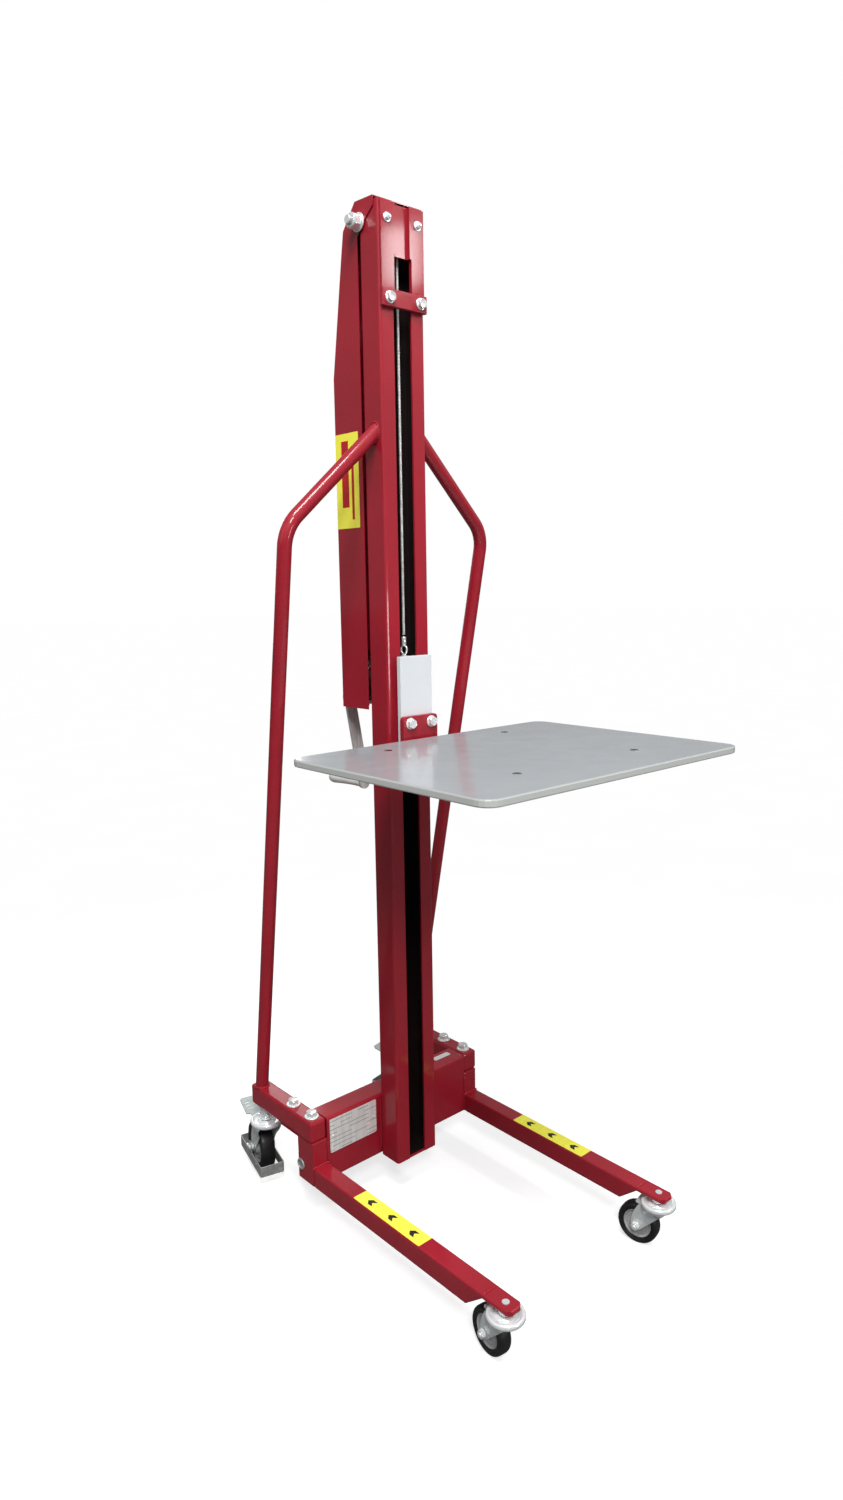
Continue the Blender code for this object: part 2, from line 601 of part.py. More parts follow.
def platform_bracket(parent):
    """The bolted plate, the cross bar below the platform's rear edge and two support arms, welded in one."""
    under = PLATFORM_TOP - PLATFORM_THICK - GAP
    top = 0.953
    plate = rounded_rectangle(0.041, (top - under + 0.034) / 2, 0.006, (0.0, (top + under - 0.034) / 2), 3)
    back = FACE_PLATE_FRONT - GAP
    bracket = add("platform_bracket", prism(plate, BRACKET_FRONT, back, "y"), "red_paint", parent)
    cross = block((-0.155, -0.1200, under - 0.022), (0.155, BRACKET_FRONT + 0.001, under))
    combine(bracket, helper("join_cross_bar", cross), "UNION")
    for side in (-1, 1):
        low, high = sorted((side * 0.125, side * 0.155))
        arm = block((low, PLATFORM_BACK - PLATFORM_DEPTH + 0.085, under - 0.018), (high, -0.1100, under))
        combine(bracket, helper(f"join_support_{'left' if side < 0 else 'right'}", arm), "UNION")


def bracket_bolt(name, x, parent):
    """One of the two bolts that hold the bracket to the face plate."""
    face = BRACKET_FRONT - GAP
    washer = [(0.0, face), (0.0105, face), (0.0105, face - 0.002), (0.0, face - 0.002)]
    hex_fastener(name, washer, [(0.017, face - 0.0095, face - 0.001)], "y", (x, 0.0, 0.9400), None, parent)


def load_platform(parent):
    centre = (0.0, PLATFORM_BACK - PLATFORM_DEPTH / 2)
    outline = rounded_rectangle(PLATFORM_WIDTH / 2, PLATFORM_DEPTH / 2, PLATFORM_CORNER, centre, 6)
    bm = prism(outline, PLATFORM_TOP - PLATFORM_THICK, PLATFORM_TOP)
    platform = add("load_platform", bm, "grey_plate", parent)
    round_edges(platform, 0.0022)


# ---------------------------------------------------------------- casters
def tyre_and_hub(prefix, wheel, parent):
    """The rubber tread and the hub disc with its raised boss, both about the local x axis."""
    radius, half = wheel["radius"], wheel["width"] / 2
    rim = radius * 0.70
    crown = radius * 0.10
    shoulder = radius - crown * 0.25
    tread = [(rim, -half * 0.80), (radius - crown, -half), (shoulder, -half * 0.72), (radius, -half * 0.30)]
    tread += [(radius, half * 0.30), (shoulder, half * 0.72), (radius - crown, half), (rim, half * 0.80)]
    add(f"{prefix}_tyre", lathe(tread, 24, "x"), "rubber", parent)
    bore, boss, edge = 0.0043, radius * 0.30, rim - GAP
    face, dish, lip = half + 0.001, half * 0.62, half * 0.80
    hub = [(bore, -face), (boss, -face), (boss + 0.0015, -dish), (edge - 0.003, -dish), (edge, -lip)]
    hub += [(edge, lip), (edge - 0.003, dish), (boss + 0.0015, dish), (boss, face), (bore, face)]
    add(f"{prefix}_hub", lathe(hub, 24, "x"), "hub_grey", parent)


def caster_fork(prefix, wheel, parent, pin=None):
    """The pressed fork: a raised swivel dish on top and two cheeks that taper down to the axle."""
    radius, trail = wheel["dish_radius"], wheel["trail"]
    top = wheel["dish_z"]
    thick, inner = 0.0022, wheel["width"] / 2 + 0.0022
    dish = [(0.0066, top - 0.001), (radius - 0.002, top - 0.001), (radius, top + 0.001)]
    dish += [(radius, top + 0.0075), (radius - 0.0015, top + 0.0095), (radius - 0.0055, top + 0.0100)]
    dish += [(radius - 0.0085, top + 0.0075), (0.0066, top + 0.0075)]
    fork = add(f"{prefix}_fork", lathe(dish, 24, "z"), "zinc", parent)
    axle_z = wheel["radius"]
    front = -radius * 0.72
    rear = trail + 0.0095
    cheek = [(front, top + 0.002), (front * 0.55, top - 0.012)]
    cheek += arc((trail, axle_z), 0.0095, 215, 360, 7)
    cheek += [(rear, axle_z + 0.014), (min(rear, radius * 0.98), top + 0.002)]
    for side, label in ((-1, "near"), (1, "far")):
        low, high = sorted((side * inner, side * (inner + thick)))
        plate = prism(cheek, low, high, "x")
        combine(fork, helper(f"join_{prefix}_{label}_cheek", plate, parent), "UNION")
    axle_hole = rod(0.0043, -0.05, 0.05, "x", (0.0, trail, axle_z), 12)
    combine(fork, helper(f"cut_{prefix}_axle", axle_hole, parent), "DIFFERENCE")
    if pin:
        pin_hole = rod(0.0033, -0.05, 0.05, "x", (0.0, trail + pin[0], pin[1]), 12)
        combine(fork, helper(f"cut_{prefix}_pin", pin_hole, parent), "DIFFERENCE")


def caster_axle(prefix, wheel, parent):
    """The axle bolt with its head and its nut."""
    face = wheel["width"] / 2 + 0.0022 + 0.0022 + GAP
    shank = [(0.0, -face - 0.001), (0.0040, -face - 0.001), (0.0040, face + 0.0085), (0.0, face + 0.0085)]
    heads = [(0.013, -face - 0.0055, -face), (0.013, face, face + 0.0065)]
    place = (0.0, wheel["trail"], wheel["radius"])
    hex_fastener(f"{prefix}_axle", shank, heads, "x", place, None, parent)


def caster_stem(prefix, place, wheel, top):
    """The fixed stem: a spacer collar on the swivel dish and the bolt that goes up through the frame."""
    low = wheel["dish_z"] - 0.0030
    collar = wheel["dish_z"] + 0.0100 + GAP
    roof = top[0] - GAP
    profile = [(0.0, low), (0.0062, low), (0.0062, collar), (0.0120, collar)]
    profile += [(0.0120, roof), (0.0060, roof), (0.0060, top[1]), (0.0, top[1])]
    add(f"{prefix}_stem", lathe(profile, 16, "z", (*place, 0.0)), "zinc")


def front_caster(label, side, heading):
    wheel = FRONT_WHEEL
    prefix = f"front_{label}"
    place = (side * FRONT_SWIVEL[0], FRONT_SWIVEL[1])
    top = BASE_Z + LEG_HEIGHT
    caster_stem(prefix, place, wheel, (top - TONGUE_THICK, top + 0.0010))
    swivel = pivot(f"{prefix}_swivel_axis", (*place, 0.0), radians(heading))
    caster_fork(prefix, wheel, swivel)
    caster_axle(prefix, wheel, swivel)
    spin = pivot(f"{prefix}_wheel_axis", (0.0, wheel["trail"], wheel["radius"]), 0.0, swivel)
    tyre_and_hub(prefix, wheel, spin)


def brake_pedal(prefix, wheel, parent):
    """A lever on a pin across the fork, with a wide tread behind. The parent's origin is on the pin."""
    inner = wheel["width"] / 2 + 0.0014
    outer = wheel["width"] / 2 + 0.0022 + 0.0022 + 0.0012
    reach, rise = PEDAL_TIP[0] - PEDAL_PIN[0], PEDAL_TIP[1] - PEDAL_PIN[1]
    start = 0.034
    level = rise * start / reach
    lever = [(-0.005, -0.0040), (0.012, -0.0040), (start, level - 0.0025), (start, level), (0.0, 0.0045)]
    lever.append((-0.005, 0.0030))
    pedal = add(f"{prefix}_brake_pedal", prism(lever, -inner, inner, "x"), "zinc", parent)
    tread = [(start - 0.001, level - 0.0024), (reach, rise - 0.0024), (reach, rise), (start - 0.001, level)]
    tread = helper(f"join_{prefix}_tread", prism(tread, -0.0250, 0.0250, "x"), parent)
    combine(pedal, tread, "UNION")
    pin = helper(f"join_{prefix}_pin", rod(0.0030, -outer, outer, "x", steps=12), parent)
    combine(pedal, pin, "UNION")


def toe_guard(prefix, wheel, parent):
    """A rectangular band of sheet steel round the wheel, a little above the floor, with ears at the axle."""
    inner_x, inner_y = 0.0232, 0.0670
    wall = 0.0020
    low, high = 0.0180, 0.0400
    centre_y = wheel["trail"] + 0.001
    reach_x, reach_y = inner_x + wall, inner_y + wall
    outer = block((-reach_x, centre_y - reach_y, low), (reach_x, centre_y + reach_y, high))
    guard = add(f"{prefix}_toe_guard", outer, "zinc", parent)
    hollow = block((-inner_x, centre_y - inner_y, 0.0), (inner_x, centre_y + inner_y, 0.1))
    combine(guard, helper(f"cut_{prefix}_guard", hollow, parent), "DIFFERENCE")
    for side, label in ((-1, "near"), (1, "far")):
        low_x, high_x = sorted((side * (inner_x + 0.0002), side * reach_x))
        ear_y = (wheel["trail"] - 0.010, wheel["trail"] + 0.010)
        ear = block((low_x, ear_y[0], high - 0.006), (high_x, ear_y[1], 0.0630))
        combine(guard, helper(f"join_{prefix}_{label}_ear", ear, parent), "UNION")
    hole = rod(0.0083, -0.05, 0.05, "x", (0.0, wheel["trail"], wheel["radius"]), 12)
    combine(guard, helper(f"cut_{prefix}_ears", hole, parent), "DIFFERENCE")


def rear_caster(label, side, heading):
    wheel = REAR_WHEEL
    prefix = f"rear_{label}"
    place = (side * REAR_SWIVEL[0], REAR_SWIVEL[1])
    caster_stem(prefix, place, wheel, (ARM_BOTTOM, ARM_BOTTOM + 0.016))
    swivel = pivot(f"{prefix}_swivel_axis", (*place, 0.0), radians(heading))
    caster_fork(prefix, wheel, swivel, PEDAL_PIN)
    caster_axle(prefix, wheel, swivel)
    toe_guard(prefix, wheel, swivel)
    spin = pivot(f"{prefix}_wheel_axis", (0.0, wheel["trail"], wheel["radius"]), 0.0, swivel)
    tyre_and_hub(prefix, wheel, spin)
    pedal = pivot(f"{prefix}_pedal_axis", (0.0, wheel["trail"] + PEDAL_PIN[0], PEDAL_PIN[1]), 0.0, swivel)
    brake_pedal(prefix, wheel, pedal)


# ---------------------------------------------------------------- assembly
def centre_footprint():
    """Hangs everything from one empty, so that the origin lies on the floor under the middle of the lift."""
    loose = [obj for obj in bpy.data.objects if obj.parent is None]
    base = pivot("lift_base", (0.0, FOOTPRINT_SHIFT, 0.0))
    for obj in loose:
        obj.parent = base


def build():
    clear_scene()
    axle_hole = mast_channel()
    cross_beam()
    name_plate()
    for label, side in (("left", -1), ("right", 1)):
        leg(f"leg_{label}", side)
        end_post(f"end_post_{label}", side)
        rear_arm(f"rear_arm_{label}", side)
        handle_tube(f"handle_tube_{label}", side)
    rear_cover(axle_hole)
    head_front_plate()
    stop_bar()
    sheave_axle()
    rope_sheave(pivot("sheave_axis", (ROPE_X, *HEAD_AXLE)))

    drum_x, drum_z = drum_centre()
    gear_phase, pinion_phase = mesh_phases()
    drum_and_gear(pivot("drum_axis", (drum_x, 0.0, drum_z)), gear_phase)
    crank_axis = pivot("crank_axis", (CRANK_AXIS[0], 0.0, CRANK_AXIS[1]))
    crank_shaft(crank_axis, pinion_phase)
    crank(crank_axis, pivot("grip_axis", grip_place()))
    winch_frame()
    ropes()

    carriage = pivot("carriage_axis", (0.0, 0.0, 0.0))
    carriage_trolley(carriage)
    for height, z in zip(("lower", "upper"), ROLLER_Z):
        for label, side in (("left", -1), ("right", 1)):
            axis = pivot(f"roller_{height}_{label}_axis", (0.0, ROLLER_Y, z), 0.0, carriage)
            guide_roller(f"guide_roller_{height}_{label}", side, axis)
    rope_eye(carriage)
    face_plate(carriage)
    platform_bracket(carriage)
    bracket_bolt("bracket_bolt_left", -0.025, carriage)
    bracket_bolt("bracket_bolt_right", 0.025, carriage)
    load_platform(carriage)

    for label, (side, heading) in FRONT_CASTERS.items():
        front_caster(label, side, heading)
    for label, (side, heading) in REAR_CASTERS.items():
        rear_caster(label, side, heading)
    centre_footprint()


build()
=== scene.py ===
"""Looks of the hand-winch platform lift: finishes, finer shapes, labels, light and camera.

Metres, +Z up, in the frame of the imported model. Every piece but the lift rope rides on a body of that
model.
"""

import json
from math import copysign, cos, pi, radians, sin, sqrt

import bmesh
import bpy
from mathutils import Matrix, Vector, noise

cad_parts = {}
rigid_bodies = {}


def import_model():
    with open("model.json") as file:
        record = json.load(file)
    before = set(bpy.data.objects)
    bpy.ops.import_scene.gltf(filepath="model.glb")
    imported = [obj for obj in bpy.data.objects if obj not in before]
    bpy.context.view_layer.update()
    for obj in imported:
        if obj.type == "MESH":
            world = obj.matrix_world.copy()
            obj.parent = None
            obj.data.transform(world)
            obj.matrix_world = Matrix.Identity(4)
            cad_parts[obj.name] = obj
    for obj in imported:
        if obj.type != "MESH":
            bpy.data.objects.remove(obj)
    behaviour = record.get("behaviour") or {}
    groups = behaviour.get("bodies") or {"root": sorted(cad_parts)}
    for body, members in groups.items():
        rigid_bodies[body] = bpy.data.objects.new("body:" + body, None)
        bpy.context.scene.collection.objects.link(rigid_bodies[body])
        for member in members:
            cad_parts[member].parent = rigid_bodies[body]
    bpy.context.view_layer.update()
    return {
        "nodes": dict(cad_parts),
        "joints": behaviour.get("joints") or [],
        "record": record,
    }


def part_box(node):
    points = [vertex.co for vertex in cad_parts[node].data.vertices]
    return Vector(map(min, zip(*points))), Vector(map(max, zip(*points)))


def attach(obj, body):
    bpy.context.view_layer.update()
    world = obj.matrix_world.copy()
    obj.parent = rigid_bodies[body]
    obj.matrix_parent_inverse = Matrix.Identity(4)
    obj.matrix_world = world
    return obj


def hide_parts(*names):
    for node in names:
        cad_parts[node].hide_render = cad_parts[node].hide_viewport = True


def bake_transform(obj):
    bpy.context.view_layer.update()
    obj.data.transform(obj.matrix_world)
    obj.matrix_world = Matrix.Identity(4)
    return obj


# ------ driving dimensions
# A y value here, and in row(), is measured from the mast's rear face.
SIDES = (("left", -1), ("right", 1))
UP = (0, 0, 1)
FRONT = (0, -1, 0)
BACK = (0, 1, 0)
NODE_GAP = 0.0003  # between neighbouring CAD nodes

# The mast's inside, where its red enamel is painted near-black as shade.
MAST_HOLLOW = (0.0465, -0.0484, -0.0038)  # half width, then front and back y, of the mast's inside

HANDLE_RADIUS = 0.0127
HANDLE_SIDES = 40
HANDLE_FOOT = (0.2030, 0.1880)
HANDLE_BEND = (0.2300, -0.0120, 1.282)
HANDLE_HEAD = (0.0503, -0.030, 1.447)
HANDLE_BEND_RADIUS = 0.070
HANDLE_HEAD_ZONE = 1.40  # above this height the handle's end is trimmed to the mast

# Bolts: flats, head height, washer radius and thickness, and a bare end's length and radius.
ARM_BOLT = (0.0185, 0.0092, 0.0135, 0.0024)
ARM_BOLT_Y = (0.0225, 0.0830)
STOP_BOLT = (0.0150, 0.0065, 0.0100, 0.0018)
STOP_BOLT_X = 0.0345
STRAP_BOLT = (0.0100, 0.0048, 0.0078, 0.0014, 0.0030, 0.0030)
STRAP_BOLT_PLACE = (0.0340, -0.0558, 1.7905)
BRACKET_BOLT = (0.0160, 0.0072, 0.0105, 0.0020)
BRACKET_BOLT_X = 0.025
HEAD_AXLE_FLATS = 0.024
HEAD_AXLE_RADIUS = 0.0078
PLUG_PLACE = (0.040, 0.101)  # y and z of the end posts' plugs
SCREW_X = 0.140
SCREW_Y = (-0.158, -0.449)

CRANK_LEAN = radians(9.9)
CRANK_LENGTH = 0.1757
CRANK_BAR_HALF = 0.0115
CRANK_BAR_THICK = 0.0060
ROPE_RADIUS = 0.0025
ROPE_LAY = 0.034  # length of one full turn of a strand

# Half the wheel's width, the dish's radius and how far back the fork's crown reaches.
CASTERS = {"front": (0.012, 0.031, 0.0385), "rear": (0.015, 0.032, 0.024)}
CHEEK_CLEARANCE = 0.0022  # between the wheel's side and the fork's cheek
CHEEK_THICK = 0.0022
EAR_BORE = 0.0083  # radius of the hole in the guard's ears
PEDAL_REACH = 0.0830  # from the pedal's pin to the end of its tread
PEDAL_RISE = 0.0150
TREAD_START = 0.034

COVER_LABEL = (0.0330, 0.0830, 0.0470, 1.372)  # half width, half height, y and z
# x, y, half width and half height of each bar on it
COVER_BARS = ((-0.006, 0.012, 0.010, 0.058), (0.0155, -0.006, 0.0035, 0.062))
LEG_LABEL = (0.0152, 0.0880)
LEG_LABEL_Y = {"left": -0.208, "right": -0.2285}
CHEVRON_PITCH = 0.056
BEAM_LABEL = (0.0215, 0.0065)
BEAM_LABEL_PLACE = (0.1425, 0.0305)
RIVET_X = 0.0490  # from the middle of the rating plate

CAMERA_PLACE = (-1.1472, -1.3821, 1.1806)
CAMERA_TURN = (41.45, 9.55, -0.93)  # degrees right of +Y, below the horizon, and roll
LENS = 23.14
SENSOR_HEIGHT = 36.0  # in millimetres, as for LENS

WORLD_LIGHT = 0.30
FLOOR_GLOW = 0.62
FLOOR_HALF = 40.0
LIGHTS = (  # name, place, aim, width, height and watts
    ("key", (-2.5, -3.5, 4.1), (0.0, -0.2, 1.0), 1.05, 1.05, 125.0),
    ("top", (-1.30, -1.30, 4.20), (0.0, -0.1, 0.5), 1.00, 1.00, 106.0),
    ("left", (-3.0, 0.5, 2.3), (0.0, 0.0, 1.0), 1.20, 1.80, 5.0),
    ("low", (0.5, -3.2, 0.9), (0.0, 0.0, 0.4), 0.60, 0.50, 14.0),
    ("rear", (1.2, 3.4, 1.6), (0.0, 0.2, 1.0), 1.40, 1.40, 14.0),
    ("head_window", (1.49, -1.66, 2.46), (0.0, 0.07, 1.74), 0.14, 0.20, 1.7),
    ("edge", (1.45, -0.85, 2.50), (0.0, 0.0, 0.5), 0.22, 0.22, 12.0),
)


def mast_back():
    """The y of the plane just behind the mast's rear face."""
    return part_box("mast_channel")[1].y + NODE_GAP


def row(x, y, z):
    """A point in the row frame, from its x, its y behind the mast's rear face, and its z."""
    return Vector((x, y + mast_back(), z))


def centre_of(name):
    low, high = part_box(name)
    return (low + high) / 2


def mm(*pairs):
    """Pairs given in millimetres, in metres."""
    return [(one / 1000, two / 1000) for one, two in pairs]


# ------ shader helpers
def new_material(name):
    mat = bpy.data.materials.new(name)
    mat.use_nodes = True
    tree = mat.node_tree
    return mat, tree, tree.nodes["Principled BSDF"]


def feed(tree, socket, value):
    """Links a socket to another node's output, or sets it to a value or an RGB colour."""
    if isinstance(value, bpy.types.NodeSocket):
        tree.links.new(value, socket)
    elif socket.type == "RGBA":
        socket.default_value = (*value[:3], 1.0)
    else:
        socket.default_value = value


def feed_all(tree, target, inputs):
    for key, value in inputs.items():
        feed(tree, target.inputs[key], value)


def node(tree, kind, inputs=None, **settings):
    made = tree.nodes.new("ShaderNode" + kind)
    for key, value in settings.items():
        setattr(made, key, value)
    feed_all(tree, made, inputs or {})
    return made


def place(tree, scale=None):
    """The object's own coordinates, stretched if asked."""
    coords = node(tree, "TexCoord").outputs["Object"]
    if scale is None:
        return coords
    return node(tree, "Mapping", {"Vector": coords, "Scale": scale}).outputs["Vector"]


def noise_value(tree, scale, detail=2.0, stretch=None):
    inputs = {"Vector": place(tree, stretch), "Scale": scale, "Detail": detail}
    return node(tree, "TexNoise", inputs).outputs["Fac"]


def spread(tree, value, low, high, start=0.3, end=0.7):
    """Maps a value onto a range."""
    inputs = {"Value": value, "From Min": start, "From Max": end, "To Min": low, "To Max": high}
    return node(tree, "MapRange", inputs).outputs["Result"]


def noise_range(tree, scale, detail, low=0.0, high=1.0, start=0.3, end=0.7):
    """Noise on a range."""
    return spread(tree, noise_value(tree, scale, detail), low, high, start, end)


def mix(tree, factor, one, two):
    return node(tree, "Mix", {0: factor, 6: one, 7: two}, data_type="RGBA").outputs[2]


def calc(tree, operation, one, two=0.0):
    return node(tree, "Math", {0: one, 1: two}, operation=operation).outputs[0]


def bump(tree, shader, height, strength, distance):
    made = node(tree, "Bump", {"Height": height, "Strength": strength, "Distance": distance})
    feed(tree, shader.inputs["Normal"], made.outputs["Normal"])


def axis_value(tree, axis):
    return node(tree, "SeparateXYZ", {"Vector": place(tree)}).outputs[axis]


def inside_range(tree, x_half, y_low, y_high):
    """1 inside an x and y range of the object's own coordinates, and 0 outside it."""
    y = axis_value(tree, "Y")
    inside = calc(tree, "LESS_THAN", calc(tree, "ABSOLUTE", axis_value(tree, "X")), x_half)
    for operation, limit in (("GREATER_THAN", y_low), ("LESS_THAN", y_high)):
        inside = calc(tree, "MULTIPLY", inside, calc(tree, operation, y, limit))
    return inside


def darker(colour, share):
    return tuple(channel * share for channel in colour)


# ------ materials
def enamel(name, shaded_hollow=None):
    """Dark red enamel with orange peel. Inside the x and y range given, if any, it is painted near-black
    as shade.
    """
    mat, tree, shader = new_material(name)
    colour = mix(tree, noise_range(tree, 7.0, 4.0), (0.275, 0.0060, 0.0165), (0.345, 0.0090, 0.0225))
    flecks = calc(tree, "MULTIPLY", noise_range(tree, 420.0, 2.0), 0.28)
    colour = mix(tree, flecks, colour, (0.48, 0.0260, 0.0430))
    if shaded_hollow:
        # Painted shade: inside the mast the red turns near-black.
        colour = mix(tree, inside_range(tree, *shaded_hollow), colour, (0.012, 0.006, 0.006))
    feed_all(tree, shader, {
        "Base Color": colour,
        "Roughness": noise_range(tree, 30.0, 5.0, 0.40, 0.55),
        "Specular IOR Level": 0.22,
        "Coat Weight": 0.60,
        "Coat Roughness": 0.09,
    })
    peel = calc(tree, "ADD", noise_value(tree, 330.0), noise_value(tree, 44.0))
    wave = calc(tree, "MULTIPLY", noise_value(tree, 13.0, 1.0), 8.0)
    bump(tree, shader, calc(tree, "ADD", peel, wave), 0.14, 0.0008)
    return mat


def plated(name, colour, rough, grain=180.0, metallic=1.0):
    """Zinc plate: bright, a little cloudy, with a faint warm and cool drift."""
    mat, tree, shader = new_material(name)
    cool = tuple(channel * share for channel, share in zip(colour, (0.86, 0.90, 0.93)))
    feed_all(tree, shader, {
        "Base Color": mix(tree, noise_range(tree, 45.0, 4.0), cool, colour),
        "Roughness": noise_range(tree, grain, 4.0, rough - 0.07, rough + 0.10),
        "Metallic": metallic,
    })
    bump(tree, shader, noise_value(tree, grain * 4), 0.06, 0.0003)
    return mat


def brushed(name, colour, rough, stretch, metallic=1.0):
    """Bare steel with drawn or machined lines along one direction."""
    mat, tree, shader = new_material(name)
    lines = noise_value(tree, 240.0, 5.0, stretch)
    feed_all(tree, shader, {
        "Base Color": mix(tree, spread(tree, lines, 0.0, 1.0), darker(colour, 0.62), colour),
        "Roughness": noise_range(tree, 14.0, 4.0, rough - 0.06, rough + 0.14),
        "Metallic": metallic,
    })
    bump(tree, shader, lines, 0.15, 0.0003)
    return mat


def galvanised(name):
    """Dull sheet steel with spangle and scuffs."""
    mat, tree, shader = new_material(name)
    cells = node(tree, "TexVoronoi", {"Vector": place(tree), "Scale": 160.0}).outputs["Color"]
    grey = node(tree, "RGBToBW", {"Color": cells}).outputs["Val"]
    colour = mix(tree, grey, (0.30, 0.305, 0.30), (0.46, 0.465, 0.45))
    scuff = spread(tree, noise_value(tree, 60.0, 6.0, (1.0, 1.0, 5.0)), 0.0, 0.7, 0.55, 0.75)
    feed_all(tree, shader, {
        "Base Color": mix(tree, scuff, colour, (0.18, 0.172, 0.160)),
        "Roughness": spread(tree, grey, 0.42, 0.60, 0.2, 0.8),
        "Metallic": 0.40,
    })
    bump(tree, shader, noise_value(tree, 300.0, 4.0), 0.12, 0.0004)
    return mat


def sheet_grey(name, colour, rough, coat, peel, edge=None):
    """Smooth painted sheet, faintly mottled. If asked, its edges that stand upright get a lighter colour
    as a painted highlight.
    """
    mat, tree, shader = new_material(name)
    face = mix(tree, noise_range(tree, 9.0, 5.0), darker(colour, 0.93), colour)
    # Painted highlight: the upright edge faces get a lighter colour, as if lit.
    if edge:
        normal = node(tree, "NewGeometry").outputs["True Normal"]
        up = node(tree, "SeparateXYZ", {"Vector": normal}).outputs["Z"]
        upright = spread(tree, calc(tree, "ABSOLUTE", up), 1.0, 0.0, 0.45, 0.80)
        face = mix(tree, upright, face, edge)
    feed_all(tree, shader, {
        "Base Color": face,
        "Roughness": noise_range(tree, 22.0, 5.0, rough * 0.8, rough * 1.3),
        "Coat Weight": coat,
        "Coat Roughness": 0.04,
    })
    bump(tree, shader, noise_value(tree, peel), 0.05, 0.0004)
    return mat


def rubber(name):
    """Black tyre rubber with a little grey dust."""
    mat, tree, shader = new_material(name)
    dust = noise_range(tree, 55.0, 6.0, 0.0, 0.55, 0.45, 0.75)
    feed_all(tree, shader, {
        "Base Color": mix(tree, dust, (0.005, 0.005, 0.006), (0.022, 0.021, 0.020)),
        "Roughness": noise_range(tree, 90.0, 4.0, 0.34, 0.58),
    })
    bump(tree, shader, noise_value(tree, 700.0, 3.0), 0.18, 0.0004)
    return mat


def moulded(name, colour, rough):
    """Moulded plastic with a fine grain."""
    mat, tree, shader = new_material(name)
    feed_all(tree, shader, {
        "Base Color": mix(tree, noise_range(tree, 35.0, 4.0), darker(colour, 0.84), colour),
        "Roughness": noise_range(tree, 120.0, 3.0, rough - 0.06, rough + 0.10),
    })
    bump(tree, shader, noise_value(tree, 500.0), 0.10, 0.0003)
    return mat


def sticker(name, colour):
    """Glossy printed film, slightly soiled."""
    mat, tree, shader = new_material(name)
    soil = noise_range(tree, 80.0, 6.0, 0.0, 0.5, 0.55, 0.80)
    feed_all(tree, shader, {
        "Base Color": mix(tree, soil, colour, darker(colour, 0.84)),
        "Roughness": noise_range(tree, 60.0, 3.0, 0.18, 0.32),
        "Specular IOR Level": 0.25,
    })
    bump(tree, shader, noise_value(tree, 240.0), 0.04, 0.0002)
    return mat


def ruled_plate(name):
    """Satin aluminium with plain ruled lines, broken at random, and no lettering."""
    mat, tree, shader = new_material(name)
    lines = noise_value(tree, 200.0, 5.0, (1.0, 1.0, 0.05))
    colour = mix(tree, spread(tree, lines, 0.0, 1.0), (0.70, 0.69, 0.67), (0.95, 0.94, 0.92))
    height = calc(tree, "MULTIPLY", axis_value(tree, "Z"), 118.0)
    rule = calc(tree, "LESS_THAN", calc(tree, "FRACT", height), 0.14)
    floor = calc(tree, "FLOOR", height)
    across = node(tree, "CombineXYZ", {"X": axis_value(tree, "X"), "Z": floor}).outputs["Vector"]
    gaps = node(tree, "TexNoise", {"Vector": across, "Scale": 24.0, "Detail": 0.0}).outputs["Fac"]
    rule = calc(tree, "MULTIPLY", rule, calc(tree, "GREATER_THAN", gaps, 0.47))
    feed_all(tree, shader, {
        "Base Color": mix(tree, calc(tree, "MULTIPLY", rule, 0.75), colour, (0.12, 0.115, 0.115)),
        "Roughness": spread(tree, lines, 0.30, 0.44),
        "Metallic": 0.25,
    })
    bump(tree, shader, lines, 0.06, 0.0002)
    return mat


